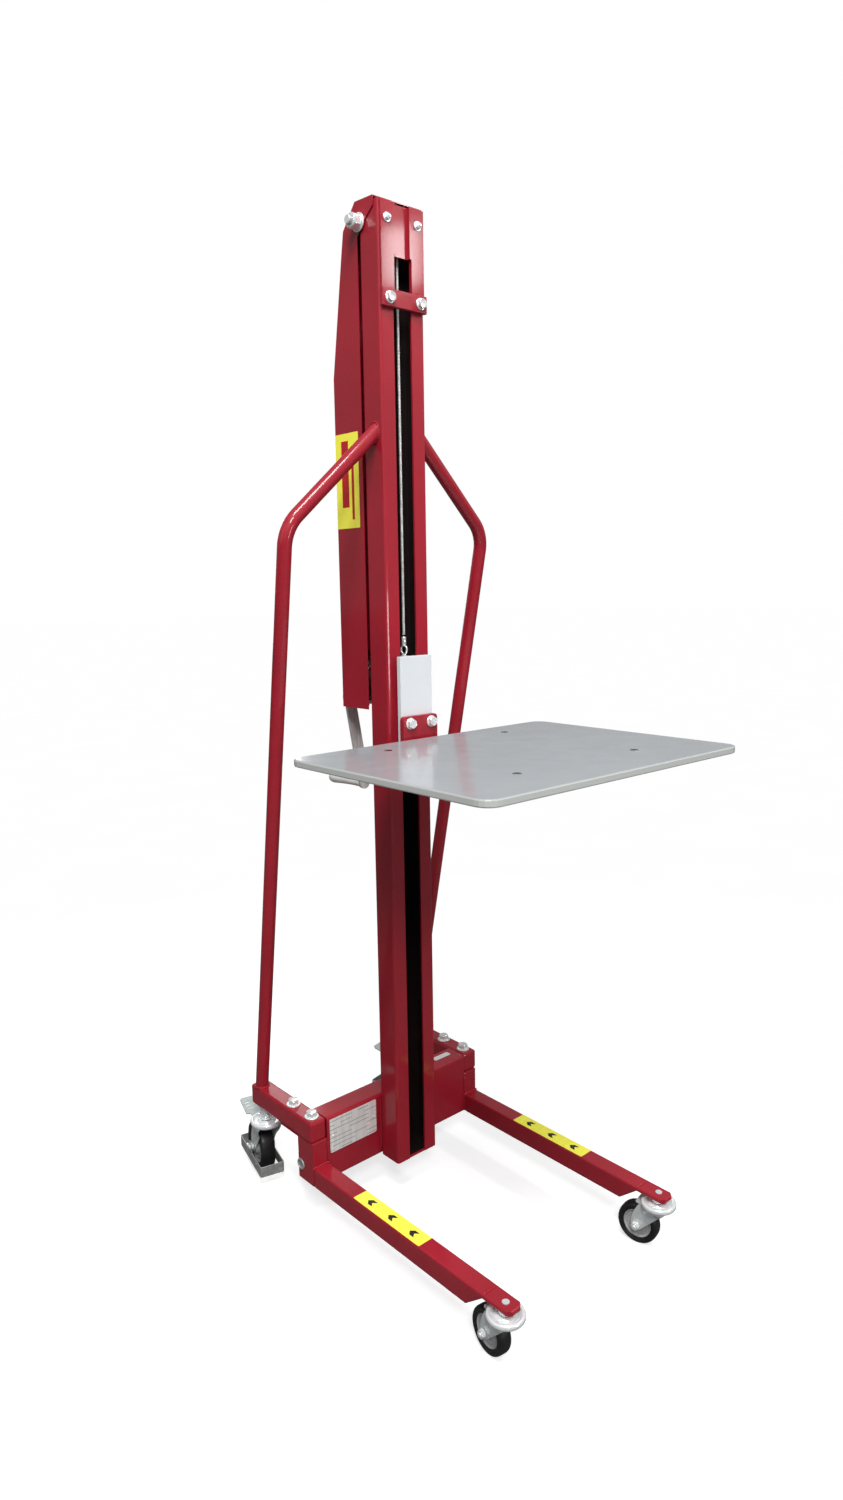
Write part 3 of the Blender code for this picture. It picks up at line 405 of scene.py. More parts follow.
def make_materials():
    half, front, back = MAST_HOLLOW
    # The range in which the mast's enamel is painted near-black as shade.
    shaded_hollow = (half, mast_back() + front, mast_back() + back)
    return {
        "red": enamel("red_enamel"),
        "mast_red": enamel("red_enamel_mast", shaded_hollow),
        "zinc": plated("zinc_plate", (0.92, 0.93, 0.92), 0.24, 180.0, 0.50),
        "pressed": plated("pressed_zinc", (0.84, 0.86, 0.85), 0.32, 90.0, 0.50),
        "dish": plated("dish_zinc", (0.97, 0.98, 0.97), 0.20, 90.0, 0.35),
        "chrome": plated("bright_steel", (0.92, 0.92, 0.91), 0.14, 180.0, 0.55),
        "pedal": plated("pedal_zinc", (0.70, 0.76, 0.73), 0.32, 110.0, 0.50),
        "guard": galvanised("galvanised_sheet"),
        "steel": brushed("machined_steel", (0.52, 0.52, 0.51), 0.30, (1.0, 1.0, 0.15)),
        "bar": brushed("flat_bar_steel", (0.86, 0.85, 0.83), 0.42, (1.0, 1.0, 0.06), 0.35),
        # Near-black steel, used only as painted shade on the winch bracket inside the cover.
        "winch_shade_black": plated("winch_shade_steel", (0.030, 0.029, 0.028), 0.45),
        "rope": brushed("rope_wire", (0.90, 0.90, 0.88), 0.34, (1.0, 1.0, 0.4), 0.5),
        # The last colour is a painted highlight on the platform's upright edges.
        "platform": sheet_grey("platform_grey", (0.37, 0.395, 0.416), 0.2, 0.24, 60.0, (0.52, 0.54, 0.52)),
        "pale": sheet_grey("pale_paint", (0.70, 0.73, 0.75), 0.34, 0.15, 320.0),
        "rubber": rubber("tyre_rubber"),
        "hub": moulded("hub_grey", (0.44, 0.445, 0.44), 0.34),
        "grip": moulded("grip_white", (0.90, 0.90, 0.87), 0.34),
        "yellow": sticker("label_yellow", (1.0, 0.95, 0.095)),
        "ink": sticker("label_ink", (0.030, 0.028, 0.026)),
        "label_red": sticker("label_red", (0.50, 0.020, 0.020)),
        "white_film": sticker("label_white", (0.76, 0.75, 0.72)),
        # Near-black, painted as the shade in the screws' gap rings and sockets.
        "dark": moulded("painted_screw_shade", (0.020, 0.020, 0.020), 0.45),
        "plate": ruled_plate("plate_blank"),
    }


# ------ mesh helpers
def turned(axis):
    """A rotation whose z column is the given axis."""
    z = Vector(axis).normalized()
    helper = Vector(UP) if abs(z.z) < 0.9 else Vector((1, 0, 0))
    x = helper.cross(z).normalized()
    y = z.cross(x)
    return Matrix((x, y, z)).transposed().to_4x4()


def at(point, axis=UP):
    return Matrix.Translation(point) @ turned(axis)


def circle(count, radius=1.0):
    """The x and y of points spread evenly round a circle."""
    angles = [2 * pi * i / count for i in range(count)]
    return [(radius * cos(angle), radius * sin(angle)) for angle in angles]


def rings_mesh(rings, closed_ends=True, loop=False):
    """Skins rings of points. A ring of one point closes the shape there."""
    bm = bmesh.new()
    made = [[bm.verts.new(point) for point in ring] for ring in rings]
    pairs = list(zip(made, made[1:])) + ([(made[-1], made[0])] if loop else [])
    for one, two in pairs:
        count = max(len(one), len(two))
        for i in range(count):
            k = i + 1
            corners = [one[i % len(one)], one[k % len(one)], two[k % len(two)], two[i % len(two)]]
            unique = list(dict.fromkeys(corners))
            if len(unique) > 2:
                bm.faces.new(unique)
    if closed_ends and not loop:
        for ring in (made[0], made[-1]):
            if len(ring) > 2:
                bm.faces.new(ring)
    return bm


def lathe(profile, steps=48, loop=False):
    """Turns a (radius, height) profile about z."""
    rings = []
    for radius, height in profile:
        count = 1 if radius == 0.0 else steps
        rings.append([(x, y, height) for x, y in circle(count, radius)])
    return rings_mesh(rings, True, loop)


def merged(*parts):
    bm = bmesh.new()
    for part in parts:
        mesh = bpy.data.meshes.new("part")
        part.to_mesh(mesh)
        part.free()
        bm.from_mesh(mesh)
        bpy.data.meshes.remove(mesh)
    return bm


def moved(bm, matrix):
    bmesh.ops.transform(bm, matrix=matrix, verts=bm.verts)
    return bm


def link(name, data):
    obj = bpy.data.objects.new(name, data)
    bpy.context.scene.collection.objects.link(obj)
    return obj


def piece(name, bm, mats, body, replaces=None, sharp=40, ride=True):
    """Turns a bmesh in the row frame into a named piece that rides on a body."""
    bmesh.ops.recalc_face_normals(bm, faces=bm.faces)
    mesh = bpy.data.meshes.new(name)
    bm.to_mesh(mesh)
    bm.free()
    mesh.shade_smooth()
    mesh.set_sharp_from_angle(angle=radians(sharp))
    for mat in mats if isinstance(mats, list) else [mats]:
        mesh.materials.append(mat)
    obj = link(name, mesh)
    if ride:
        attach(obj, body)
    if replaces:
        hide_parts(replaces)
    return obj


def paint_faces(obj, is_second):
    """Gives the piece's second material to the faces that the test picks."""
    for face in obj.data.polygons:
        face.material_index = 1 if is_second(face) else 0


def bevel_edges(bm, width, segments):
    """Bevels every edge that is sharper than 60 degrees."""
    edges = [e for e in bm.edges if e.is_manifold and e.calc_face_angle(0.0) > radians(60)]
    bmesh.ops.bevel(bm, geom=edges, offset=width, segments=segments, affect="EDGES", clamp_overlap=True)
    return bm


def slab(outline, low, high):
    """Extrudes an (x, y) outline along z."""
    return rings_mesh([[(x, y, low) for x, y in outline], [(x, y, high) for x, y in outline]])


def rounded_outline(half_x, half_y, radius, count):
    points = []
    for sx, sy, start in ((1, 1, 0), (-1, 1, 90), (-1, -1, 180), (1, -1, 270)):
        x, y = sx * (half_x - radius), sy * (half_y - radius)
        for i in range(count):
            angle = radians(start + 90 * i / (count - 1))
            points.append((x + radius * cos(angle), y + radius * sin(angle)))
    return points


def tube(path, radius, sides, closed=False, twist=0.0, lobes=0, lobe_depth=0.0):
    """A bar along a path. radius is a number or a function of the share of the length."""
    points = [Vector(p) for p in path]
    count = len(points)
    rings = []
    side = None
    run = 0.0
    for i, point in enumerate(points):
        ahead = points[(i + 1) % count] if closed or i + 1 < count else point
        behind = points[i - 1] if closed or i else point
        tangent = (ahead - behind).normalized()
        if side is None:
            side = tangent.orthogonal().normalized()
        side = (side - tangent * side.dot(tangent)).normalized()
        other = tangent.cross(side)
        if i:
            run += (point - points[i - 1]).length
        size = radius(i / (count - 1)) if callable(radius) else radius
        ring = []
        for k in range(sides):
            angle = 2 * pi * k / sides
            swell = size * (1.0 + lobe_depth * cos(lobes * angle))
            turn = angle + twist * run
            ring.append(point + swell * (cos(turn) * side + sin(turn) * other))
        rings.append(ring)
    return rings_mesh(rings, not closed, closed)


def bent_path(start, corner, end, radius):
    """A line from start to end by way of a rounded corner."""
    count = 20
    start, corner, end = Vector(start), Vector(corner), Vector(end)
    one, two = (start - corner).normalized(), (end - corner).normalized()
    half = one.angle(two) / 2
    centre = corner + (one + two).normalized() * radius / sin(half)
    reach = radius * cos(half) / sin(half)
    first, last = corner + one * reach, corner + two * reach
    normal = (first - centre).cross(last - centre).normalized()
    turn = (first - centre).angle(last - centre)
    steps = [Matrix.Rotation(turn * i / (count - 1), 3, normal) for i in range(count)]
    return [start] + [centre + step @ (first - centre) for step in steps] + [end]


def weld(path, radius, closed, seed):
    """A weld bead: a lumpy bar along a line, with a hand weld's ripples."""
    ripple_pitch, step = 0.0042, 0.0011
    points = [Vector(p) for p in path]
    if closed:
        points.append(points[0])
    dense = []
    for one, two in zip(points, points[1:]):
        steps = max(2, int((two - one).length / step))
        dense += [one.lerp(two, i / steps) for i in range(steps)]
    if not closed:
        dense.append(points[-1])
    total = sum((b - a).length for a, b in zip(dense, dense[1:]))

    def size(share):
        run = share * total
        ripple = abs(sin(pi * run / ripple_pitch))
        wobble = noise.noise(Vector((run * 160.0, seed, 0.3)))
        ends = 1.0 if closed else min(1.0, 0.35 + 9.0 * min(share, 1.0 - share))
        return radius * ends * (0.80 + 0.26 * ripple + 0.18 * wobble)

    return tube(dense, size, 8, closed)


def add_weld(name, path, radius, seed, mats, closed=False):
    piece(name, weld(path, radius, closed, seed), mats["red"], "frame")


# ------ fasteners
def hex_head(flats, low, high, dish=0.0):
    """A hexagon with a turned chamfer on its top corners, about z."""
    steps = 48
    apothem = flats / 2
    corner = apothem / cos(pi / 6)

    def ring(z, limit):
        points = []
        for i in range(steps):
            angle = 2 * pi * i / steps
            sector = (angle + pi / 6) % (pi / 3) - pi / 6
            radius = min(apothem / cos(sector), limit)
            points.append((radius * cos(angle), radius * sin(angle), z))
        return points

    rings = [ring(low, corner)]
    for share in (0.0, 0.2, 0.45, 0.7, 1.0):
        z = high - (high - low) * 0.16 * (1 - share)
        rings.append(ring(z, corner - share * (corner - apothem * 0.93)))
    rings.append(ring(high - dish, apothem * 0.80))
    rings.append([(0.0, 0.0, high - dish)])
    return rings_mesh(rings)


def washer_mesh(radius, bore, low, high, steps=48):
    """A flat ring with softened outer edges."""
    soft = (high - low) * 0.25
    profile = [(bore, low), (radius - soft, low), (radius, low + soft)]
    profile += [(radius, high - soft), (radius - soft, high), (bore, high)]
    return lathe(profile, steps, True)


def cylinder(radius, low, high, steps):
    return lathe([(0.0, low), (radius, low), (radius, high), (0.0, high)], steps)


def bolt_mesh(flats, height, washer, thick, tip=0.0, tip_radius=0.0):
    """A washer and a hexagon on z = 0, with the end of the shank above it if asked."""
    parts = [washer_mesh(washer, 0.002, 0.0, thick)]
    parts.append(cylinder(washer * 0.7, 0.0001, thick * 0.9, 48))
    parts.append(hex_head(flats, thick, thick + height, 0.0004))
    if tip:
        top, chamfer = thick + height + tip, 0.0012
        profile = [(0.0, thick), (tip_radius, thick), (tip_radius, top - chamfer)]
        parts.append(lathe(profile + [(tip_radius - chamfer, top), (0.0, top)], 32))
    return merged(*parts)


def add_bolts(mats):
    """The visible bolts: rear arms, stop bar, mast head and platform bracket."""
    def add(name, sizes, matrix, body="frame", replaces=None):
        piece(name, moved(bolt_mesh(*sizes), matrix), mats["zinc"], body, replaces)

    for label, side in SIDES:
        arm = f"rear_arm_{label}"
        for index, y in enumerate(ARM_BOLT_Y, 1):
            spot = row(centre_of(arm).x, y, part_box(arm)[1].z)
            add(f"arm_bolt_{label}_{index}", ARM_BOLT, at(spot))
        bar = "carriage_stop_bar"
        spot = (side * STOP_BOLT_X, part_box(bar)[0].y, centre_of(bar).z)
        add(f"stop_bar_bolt_{label}", STOP_BOLT, at(spot, FRONT))
        x, y, z = STRAP_BOLT_PLACE
        add(f"strap_bolt_{label}", STRAP_BOLT, at(row(side * x, y, z), FRONT))
        bolt = f"bracket_bolt_{label}"
        spot = (side * BRACKET_BOLT_X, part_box(bolt)[1].y, centre_of(bolt).z)
        add(f"bracket_bolt_head_{label}", BRACKET_BOLT, at(spot, FRONT), "carriage", bolt)


def add_head_axle(mats):
    """The sheave's axle bolt, and its nut on a flat washer and a spring washer."""
    _, y, z = centre_of("sheave_axle_bolt")
    low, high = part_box("sheave_axle_bolt")
    length = high.x - low.x
    shank = cylinder(HEAD_AXLE_RADIUS, 0.0030, length - 0.0115, 32)
    chamfer = [(0.0, 0.0), (HEAD_AXLE_RADIUS - 0.0012, 0.0), (HEAD_AXLE_RADIUS, 0.0012)]
    tip = lathe(chamfer + [(HEAD_AXLE_RADIUS, 0.012), (0.0, 0.012)], 32)
    head = hex_head(HEAD_AXLE_FLATS, length - 0.0100, length, 0.0005)
    bm = moved(merged(shank, tip, head), at((low.x, y, z), (1, 0, 0)))
    piece("head_axle_bolt", bm, mats["zinc"], "frame", "sheave_axle_bolt")
    washer = washer_mesh(0.0155, 0.0082, 0.0, 0.0028)
    spring = washer_mesh(0.0128, 0.0082, 0.0030, 0.0058)
    nut = hex_head(HEAD_AXLE_FLATS, 0.0060, 0.0185)
    bm = moved(merged(washer, spring, nut), at((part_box("sheave_axle_nut")[1].x, y, z), (-1, 0, 0)))
    piece("head_axle_nut", bm, mats["zinc"], "frame", "sheave_axle_nut")


def add_plugs(mats):
    """A round plug in the outer face of each end post."""
    profile = mm((0, 0), (10.8, 0), (11.2, 0.6), (10.4, 2.0), (7.8, 2.4), (7.0, 1.0), (0, 0.8))
    for label, side in SIDES:
        low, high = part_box(f"end_post_{label}")
        outer = low.x if side < 0 else high.x
        bm = moved(lathe(profile), at(row(outer, *PLUG_PLACE), (side, 0, 0)))
        piece(f"post_plug_{label}", bm, mats["guard"], "frame")


def add_platform_screws(mats):
    """Flush screws in the platform, each in a dark ring and with a dark socket, both painted shade
    standing in for a gap and a recess.
    """
    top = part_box("load_platform")[1].z
    rim = mm((5.0, 0), (6.8, 0), (7.0, 0.2), (6.6, 0.5), (5.8, 0.4), (5.2, 0.1))
    head = mm((0, 0), (5.4, 0), (5.4, 0.2), (3.4, 0.3), (3.0, 0.1), (0, 0.1))
    for rank, y in enumerate(SCREW_Y, 1):
        for label, side in SIDES:
            spot = row(side * SCREW_X, y, top)
            bm = moved(merged(lathe(rim, 36, True), lathe(head, 36)), at(spot))
            pair = [mats["steel"], mats["dark"]]
            obj = piece(f"platform_screw_{label}_{rank}", bm, pair, "carriage")

            # Painted shade: the gap ring round the head and the socket in its middle.
            def is_painted_shade(face):
                reach = (face.center - spot).xy.length
                return reach < 0.0036 or 0.0050 < reach < 0.0056

            paint_faces(obj, is_painted_shade)


# ------ handles and welds
def add_handles(mats):
    """The push handles as smooth bent tubes, and the welds at their feet and heads."""
    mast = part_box("mast_channel")[1].x
    for label, side in SIDES:
        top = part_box(f"rear_arm_{label}")[1].z
        foot = row(side * HANDLE_FOOT[0], HANDLE_FOOT[1], top - 0.0006)
        bend = row(side * HANDLE_BEND[0], *HANDLE_BEND[1:])
        head = row(side * HANDLE_HEAD[0], *HANDLE_HEAD[1:])
        path = bent_path(foot, bend, head, HANDLE_BEND_RADIUS)
        lean = (path[1] - path[0]).normalized()
        run = (path[-1] - path[-2]).normalized()
        bm = tube(path, HANDLE_RADIUS, HANDLE_SIDES)
        for vert in bm.verts:
            if vert.co.z < top + 0.01:
                vert.co -= lean * ((vert.co.z - top - 0.0004) / lean.z)
            elif vert.co.z > HANDLE_HEAD_ZONE and abs(vert.co.x) < mast + 0.03:
                vert.co += run * ((side * (mast + 0.0004) - vert.co.x) / run.x)
        piece(f"handle_{label}", bm, mats["red"], "frame", f"handle_tube_{label}")

        reach = HANDLE_RADIUS + 0.0006
        ring = [(foot.x + x, foot.y + y / lean.z, top + 0.0008) for x, y in circle(HANDLE_SIDES, reach)]
        add_weld(f"handle_foot_weld_{label}", ring, 0.0022, side, mats, True)

        sideways = Vector((1, 0, 0))
        across = run.cross(sideways).normalized()
        along = across.cross(sideways).normalized() / abs(run.x)
        centre = path[-1] + run * ((side * (mast + 0.0006) - path[-1].x) / run.x)
        reach = HANDLE_RADIUS + 0.0004
        ring = [centre + across * x + along * y for x, y in circle(HANDLE_SIDES, reach)]
        add_weld(f"handle_head_weld_{label}", ring, 0.0020, 3 + side, mats, True)


def add_welds(mats):
    """Beads where the legs, posts, beam, tongues and mast meet."""
    beam_low, beam_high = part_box("cross_beam")
    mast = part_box("mast_channel")[1].x
    for label, side in SIDES:
        low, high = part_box(f"leg_{label}")
        inner, outer = (high.x, low.x) if side < 0 else (low.x, high.x)
        foot, top = low.z + 0.004, high.z
        corners = ((outer, foot), (outer, top), (inner, top), (inner, foot))
        path = [row(x, -0.0004, z) for x, z in corners]
        add_weld(f"leg_root_weld_{label}", path, 0.0022, side, mats)
        path = [row(x, -0.446, top + 0.0002) for x in (low.x + 0.003, high.x - 0.003)]
        add_weld(f"tongue_weld_{label}", path, 0.0019, 2 * side, mats)
        x = side * (abs(inner) - 0.0002)
        path = [row(x, -0.0006, z) for z in (0.112, beam_high.z - 0.048)]
        add_weld(f"beam_weld_{label}", path, 0.0018, 4 * side, mats)
        x = side * (mast + 0.0002)
        path = [row(x, -0.0006, z) for z in (beam_low.z + 0.010, beam_high.z - 0.006)]
        add_weld(f"mast_weld_{label}", path, 0.0020, 6 * side, mats)


# ------ casters
def joint(frame, name):
    """A joint's place and its axis."""
    found = [j for j in frame["joints"] if j["name"] == name][0]
    return Vector(found["pos_m"]), Vector(found["axis"]).normalized()


def caster_frame(frame, prefix):
    """The caster's axes, from under its swivel, with x along the axle and y behind, and its sizes."""
    swivel, _ = joint(frame, f"{prefix}_swivel_turn")
    wheel, axle = joint(frame, f"{prefix}_wheel_spin")
    trailing = Vector((-axle.y, axle.x, 0.0))
    matrix = Matrix.Translation((swivel.x, swivel.y, 0.0))
    matrix = matrix @ Matrix((axle, trailing, Vector(UP))).transposed().to_4x4()
    return matrix, (wheel - swivel).dot(trailing), wheel.z, swivel.z


def cheek(side, plane, trail, axle_z, dish_z, radius):
    """One side of a fork: it leaves the dish's rim, narrows downwards and ends round the axle."""
    eye, across = 0.0098, 14
    front, rear, top = -0.74 * radius, trail + eye, dish_z + 0.0012
    low, turn = radians(215), radians(72.5)

    def round_axle(angle):
        return Vector((trail + eye * cos(angle), axle_z + eye * sin(angle)))

    start = Vector((front, top))
    knee = Vector((front * 0.25, top - 0.40 * (top - axle_z)))
    end = round_axle(low)
    corner = Vector((min(rear, radius * 0.98), top))
    shoulder = Vector((rear, axle_z + 0.52 * (top - axle_z)))
    foot = Vector((rear, axle_z))
    rows = []
    for i in range(19):
        v = i / 18
        fore = start * (1 - v) ** 2 + knee * 2 * v * (1 - v) + end * v * v
        aft = corner * (1 - v) ** 2 + shoulder * 2 * v * (1 - v) + foot * v * v
        rows.append((fore, aft, min(1.0, v / 0.50)))
    for i in range(1, 7):
        step = turn * i / 6
        rows.append((round_axle(low + step), round_axle(2 * pi - step), 1.0))
    bm = bmesh.new()
    grid = []
    for fore, aft, share in rows:
        share = share * share * (3 - 2 * share)
        line = []
        for i in range(across + 1):
            y, z = fore.lerp(aft, i / across)
            rim = sqrt(max(0.0, radius * radius - y * y))
            x = max(plane, rim) * (1 - share) + plane * share
            line.append(bm.verts.new((side * x, y, z)))
        grid.append(line)
    for one, two in zip(grid, grid[1:]):
        for i in range(across):
            bm.faces.new((one[i], one[i + 1], two[i + 1], two[i]))
    bmesh.ops.remove_doubles(bm, verts=bm.verts, dist=0.00005)
    bmesh.ops.recalc_face_normals(bm, faces=bm.faces)
    bmesh.ops.solidify(bm, geom=bm.faces[:], thickness=0.0018)
    return bm


def crown_plate(plane, reach, top):
    """The flat top of a fork behind the dish, which joins the cheeks."""
    half = plane + 0.0008
    outline = [(half, 0.0), (half, reach - 0.003), (half - 0.003, reach), (-half + 0.003, reach)]
    outline += [(-half, reach - 0.003), (-half, 0.0)]
    return slab(outline, top - 0.0004, top + 0.0014)


def dish_mesh(dish_z, radius):
    """The swivel dish: a rolled rim, a sunken ring and the raised seat of the ball race."""
    rim = mm((-4.0, -0.8), (-1.2, 0.2), (0, 2.2), (0.2, 6.2), (-0.8, 8.6), (-2.8, 9.8), (-5.0, 9.6))
    rim += mm((-6.6, 8.2), (-8.2, 5.6), (-13.0, 5.2), (-15.0, 8.4))
    seat = mm((12.6, 9.2), (12.6, 7.0), (6.8, 7.0))
    profile = [(0.0068, -0.0008)] + [(radius + x, z) for x, z in rim] + seat
    return lathe([(x, dish_z + z) for x, z in profile], 72, True)


def mirrored(profile, middle=()):
    """A profile, its middle points if any, and its mirror image below z = 0."""
    return [*profile, *middle, *((x, -z) for x, z in reversed(profile))]


def wheel_meshes(radius, half):
    """The tyre with its moulded rings and the hub disc with its boss, about z, in the middle plane."""
    rim, crown = radius * 0.70, radius * 0.13
    side = [(rim, half * 0.80), (rim + 0.0010, half * 0.90), (radius * 0.785, half * 0.95)]
    side += [(radius * 0.80, half * 0.89), (radius * 0.815, half * 0.96), (radius - crown, half * 0.995)]
    for i in range(1, 8):
        angle = radians(90 * i / 8)
        side.append((radius - crown + crown * sin(angle) ** 0.9, half * cos(angle) ** 0.62))
    tyre = lathe(mirrored(side, [(radius, 0.0)]), 72, True)
    boss, edge, face = radius * 0.30, rim - 0.0003, half + 0.0009
    hub = [(0.0044, face), (boss - 0.0010, face), (boss, face - 0.0010)]
    hub += [(boss + 0.0012, half * 0.66), (boss + 0.0030, half * 0.60), (radius * 0.47, half * 0.60)]
    hub += [(radius * 0.485, half * 0.68), (radius * 0.515, half * 0.68), (radius * 0.53, half * 0.58)]
    hub += [(edge - 0.0038, half * 0.58), (edge - 0.0026, half * 0.78)]
    hub += [(edge - 0.0008, half * 0.82), (edge, half * 0.76)]
    return tyre, lathe(mirrored(hub), 60, True)


def axle_mesh(face):
    """The axle bolt about z, between two faces: its head below, its nut above."""
    flats, end = 0.013, face + 0.0085
    shank = [(0.0, -face), (0.0040, -face), (0.0040, end - 0.0010), (0.0030, end), (0.0, end)]
    nut = hex_head(flats, face + 0.0010, face + 0.0064)
    washer = washer_mesh(0.0082, 0.0041, face + 0.0001, face + 0.0010, 40)
    head = moved(hex_head(flats, face, face + 0.0052, 0.0004), Matrix.Rotation(pi, 4, "X"))
    return merged(lathe(shank, 28), nut, washer, head)


def add_caster(frame, prefix, mats):
    """A fork with its dish, a wheel and an axle bolt, and at the rear a guard and a pedal."""
    base, trail, axle_z, dish_z = caster_frame(frame, prefix)
    half, dish_radius, reach = CASTERS[prefix.split("_")[0]]
    plane = half + CHEEK_CLEARANCE
    swivel_body, wheel_body = f"{prefix}_swivel", f"{prefix}_wheel"

    sizes = (plane + 0.0009, trail, axle_z, dish_z, dish_radius - 0.0014)
    cheeks = [cheek(side, *sizes) for _, side in SIDES]
    crown = crown_plate(plane, reach, dish_z)
    fork = moved(merged(dish_mesh(dish_z, dish_radius), crown, *cheeks), base)
    pair = [mats["pressed"], mats["dish"]]
    obj = piece(f"{prefix}_pressed_fork", fork, pair, swivel_body, f"{prefix}_fork", 50)
    paint_faces(obj, lambda face: face.center.z > dish_z + 0.0016)

    along_axle = base @ Matrix.Translation((0.0, trail, axle_z)) @ Matrix.Rotation(pi / 2, 4, "Y")
    tyre, hub = (moved(bm, along_axle) for bm in wheel_meshes(axle_z, half))
    piece(f"{prefix}_tread", tyre, mats["rubber"], wheel_body, f"{prefix}_tyre", 60)
    piece(f"{prefix}_hub_disc", hub, mats["hub"], wheel_body, f"{prefix}_hub", 50)

    bolt = axle_mesh(plane + CHEEK_THICK + NODE_GAP)
    bolt = moved(bolt, along_axle @ Matrix.Rotation(pi, 4, "X"))
    piece(f"{prefix}_axle_bolt", bolt, mats["zinc"], swivel_body, f"{prefix}_axle")
    if prefix.startswith("rear"):
        add_guard(prefix, base, trail, axle_z, mats)
        add_pedal(frame, prefix, base, half, mats)


def add_guard(prefix, base, trail, axle_z, mats):
    """The bent band round the wheel, its ears at the axle and its small screws."""
    inner_x, inner_y, wall = 0.0232, 0.0670, 0.0020
    low, high, soft = 0.0180, 0.0400, 0.0004
    middle = trail + 0.001
    ear, ear_z = 0.010, 0.0530
    outer = rounded_outline(inner_x + wall, inner_y + wall, 0.0045, 7)
    inner = rounded_outline(inner_x, inner_y, 0.0025, 7)
    rings = []
    for z, shrink in ((low, soft), (low + soft, 0.0), (high - soft, 0.0), (high, soft)):
        rings.append([(x - copysign(shrink, x), y - copysign(shrink, y) + middle, z) for x, y in outer])
    for z in (high, low):
        rings.append([(x, y + middle, z) for x, y in inner])
    parts = [rings_mesh(rings, False, True)]
    bore = [(y, axle_z + z) for y, z in circle(24, EAR_BORE)]
    outline = [(-ear, high - 0.001), (ear, high - 0.001)]
    for i in range(13):
        angle = pi * i / 12
        outline.append((ear * cos(angle), ear_z + ear * sin(angle)))
    for _, side in SIDES:
        parts.append(ear_plate(side, outline, bore, inner_x + 0.0003, inner_x + wall, trail))
        screw = lathe(mm((0, 0), (3.0, 0), (3.0, 0.6), (2.2, 1.4), (0, 1.6)), 20)
        spot = (side * (inner_x + wall), trail - 0.040, high - 0.006)
        parts.append(moved(screw, at(spot, (side, 0, 0))))
    bm = moved(merged(*parts), base)
    piece(f"{prefix}_guard_band", bm, mats["guard"], f"{prefix}_swivel", f"{prefix}_toe_guard")


def ear_plate(side, outline, bore, low, high, trail):
    """A small plate with a round hole, standing on the band beside the axle."""
    count = len(bore)
    centre = Vector((sum(p[0] for p in bore) / count, sum(p[1] for p in bore) / count))
    rim = []
    for point in bore:
        ray = (Vector(point) - centre).normalized()
        best = 1.0
        for one, two in zip(outline, outline[1:] + outline[:1]):
            offset, edge = Vector(one) - centre, Vector(two) - Vector(one)
            cross = ray.x * edge.y - ray.y * edge.x
            if abs(cross) < 1e-12:
                continue
            reach = (offset.x * edge.y - offset.y * edge.x) / cross
            share = (offset.x * ray.y - offset.y * ray.x) / cross
            if reach > 0 and -1e-6 <= share <= 1 + 1e-6:
                best = min(best, reach)
        rim.append(centre + ray * max(best, EAR_BORE + 0.0001))
    rings = []
    for x, ring in ((low, bore), (low, rim), (high, rim), (high, bore)):
        rings.append([(side * x, trail + y, z) for y, z in ring])
    return rings_mesh(rings, False, True)


def tread_height(y):
    """The height of the pedal's upper face above its pin, which rises evenly."""
    slope_start = 0.004
    return PEDAL_RISE * (y - slope_start) / (PEDAL_REACH - slope_start)


def add_pedal(frame, prefix, base, half, mats):
    """The stamped brake pedal: a lever between the cheeks and a ribbed tread."""
    pin, _ = joint(frame, f"{prefix}_pedal_press")
    heel, toe, fade = 0.005, 0.006, 0.02
    lever_half, tread_half, bead = half + 0.0012, 0.0250, 0.0010
    rings = []
    for i in range(25):
        y = -heel + (PEDAL_REACH + heel) * (i / 24)
        z = 0.0040 if y < 0 else max(0.0, tread_height(y))
        if y < fade:
            z = max(z, 0.0042 * (1 - y / fade))
        toe_taper = 0.004 * max(0.0, (y - PEDAL_REACH + toe) / toe)
        width = lever_half if y < TREAD_START - 0.002 else tread_half - toe_taper
        low = z - (0.0055 if y < 0.012 else 0.0022)
        rings.append([(-width, y, low), (-width, y, z), (width, y, z), (width, y, low)])
    parts = [rings_mesh(rings)]
    for index in range(4):
        y = 0.046 + 0.0095 * index
        line = [(-0.020 + 0.04 * i / 8, y, tread_height(y)) for i in range(9)]
        parts.append(tube(line, lambda share: bead * min(1.0, 0.4 + 4 * min(share, 1 - share)), 10))
    run = [TREAD_START + (PEDAL_REACH - 0.004 - TREAD_START) * i / 12 for i in range(13)]
    for _, side in SIDES:
        edge = [(side * (tread_half - 0.0007), y, tread_height(y)) for y in run]
        parts.append(tube(edge, bead, 10))
    pin_end = half + CHEEK_CLEARANCE + CHEEK_THICK + 0.0012
    shank = mirrored([(0.0, pin_end), (0.0026, pin_end), (0.0030, pin_end - 0.0005)])
    parts.append(moved(lathe(shank, 24), Matrix.Rotation(pi / 2, 4, "Y")))
    bm = moved(merged(*parts), base @ Matrix.Translation(base.inverted() @ pin))
    replaced = f"{prefix}_brake_pedal"
    piece(f"{prefix}_pedal_plate", bm, mats["pedal"], f"{prefix}_pedal", replaced, 35)


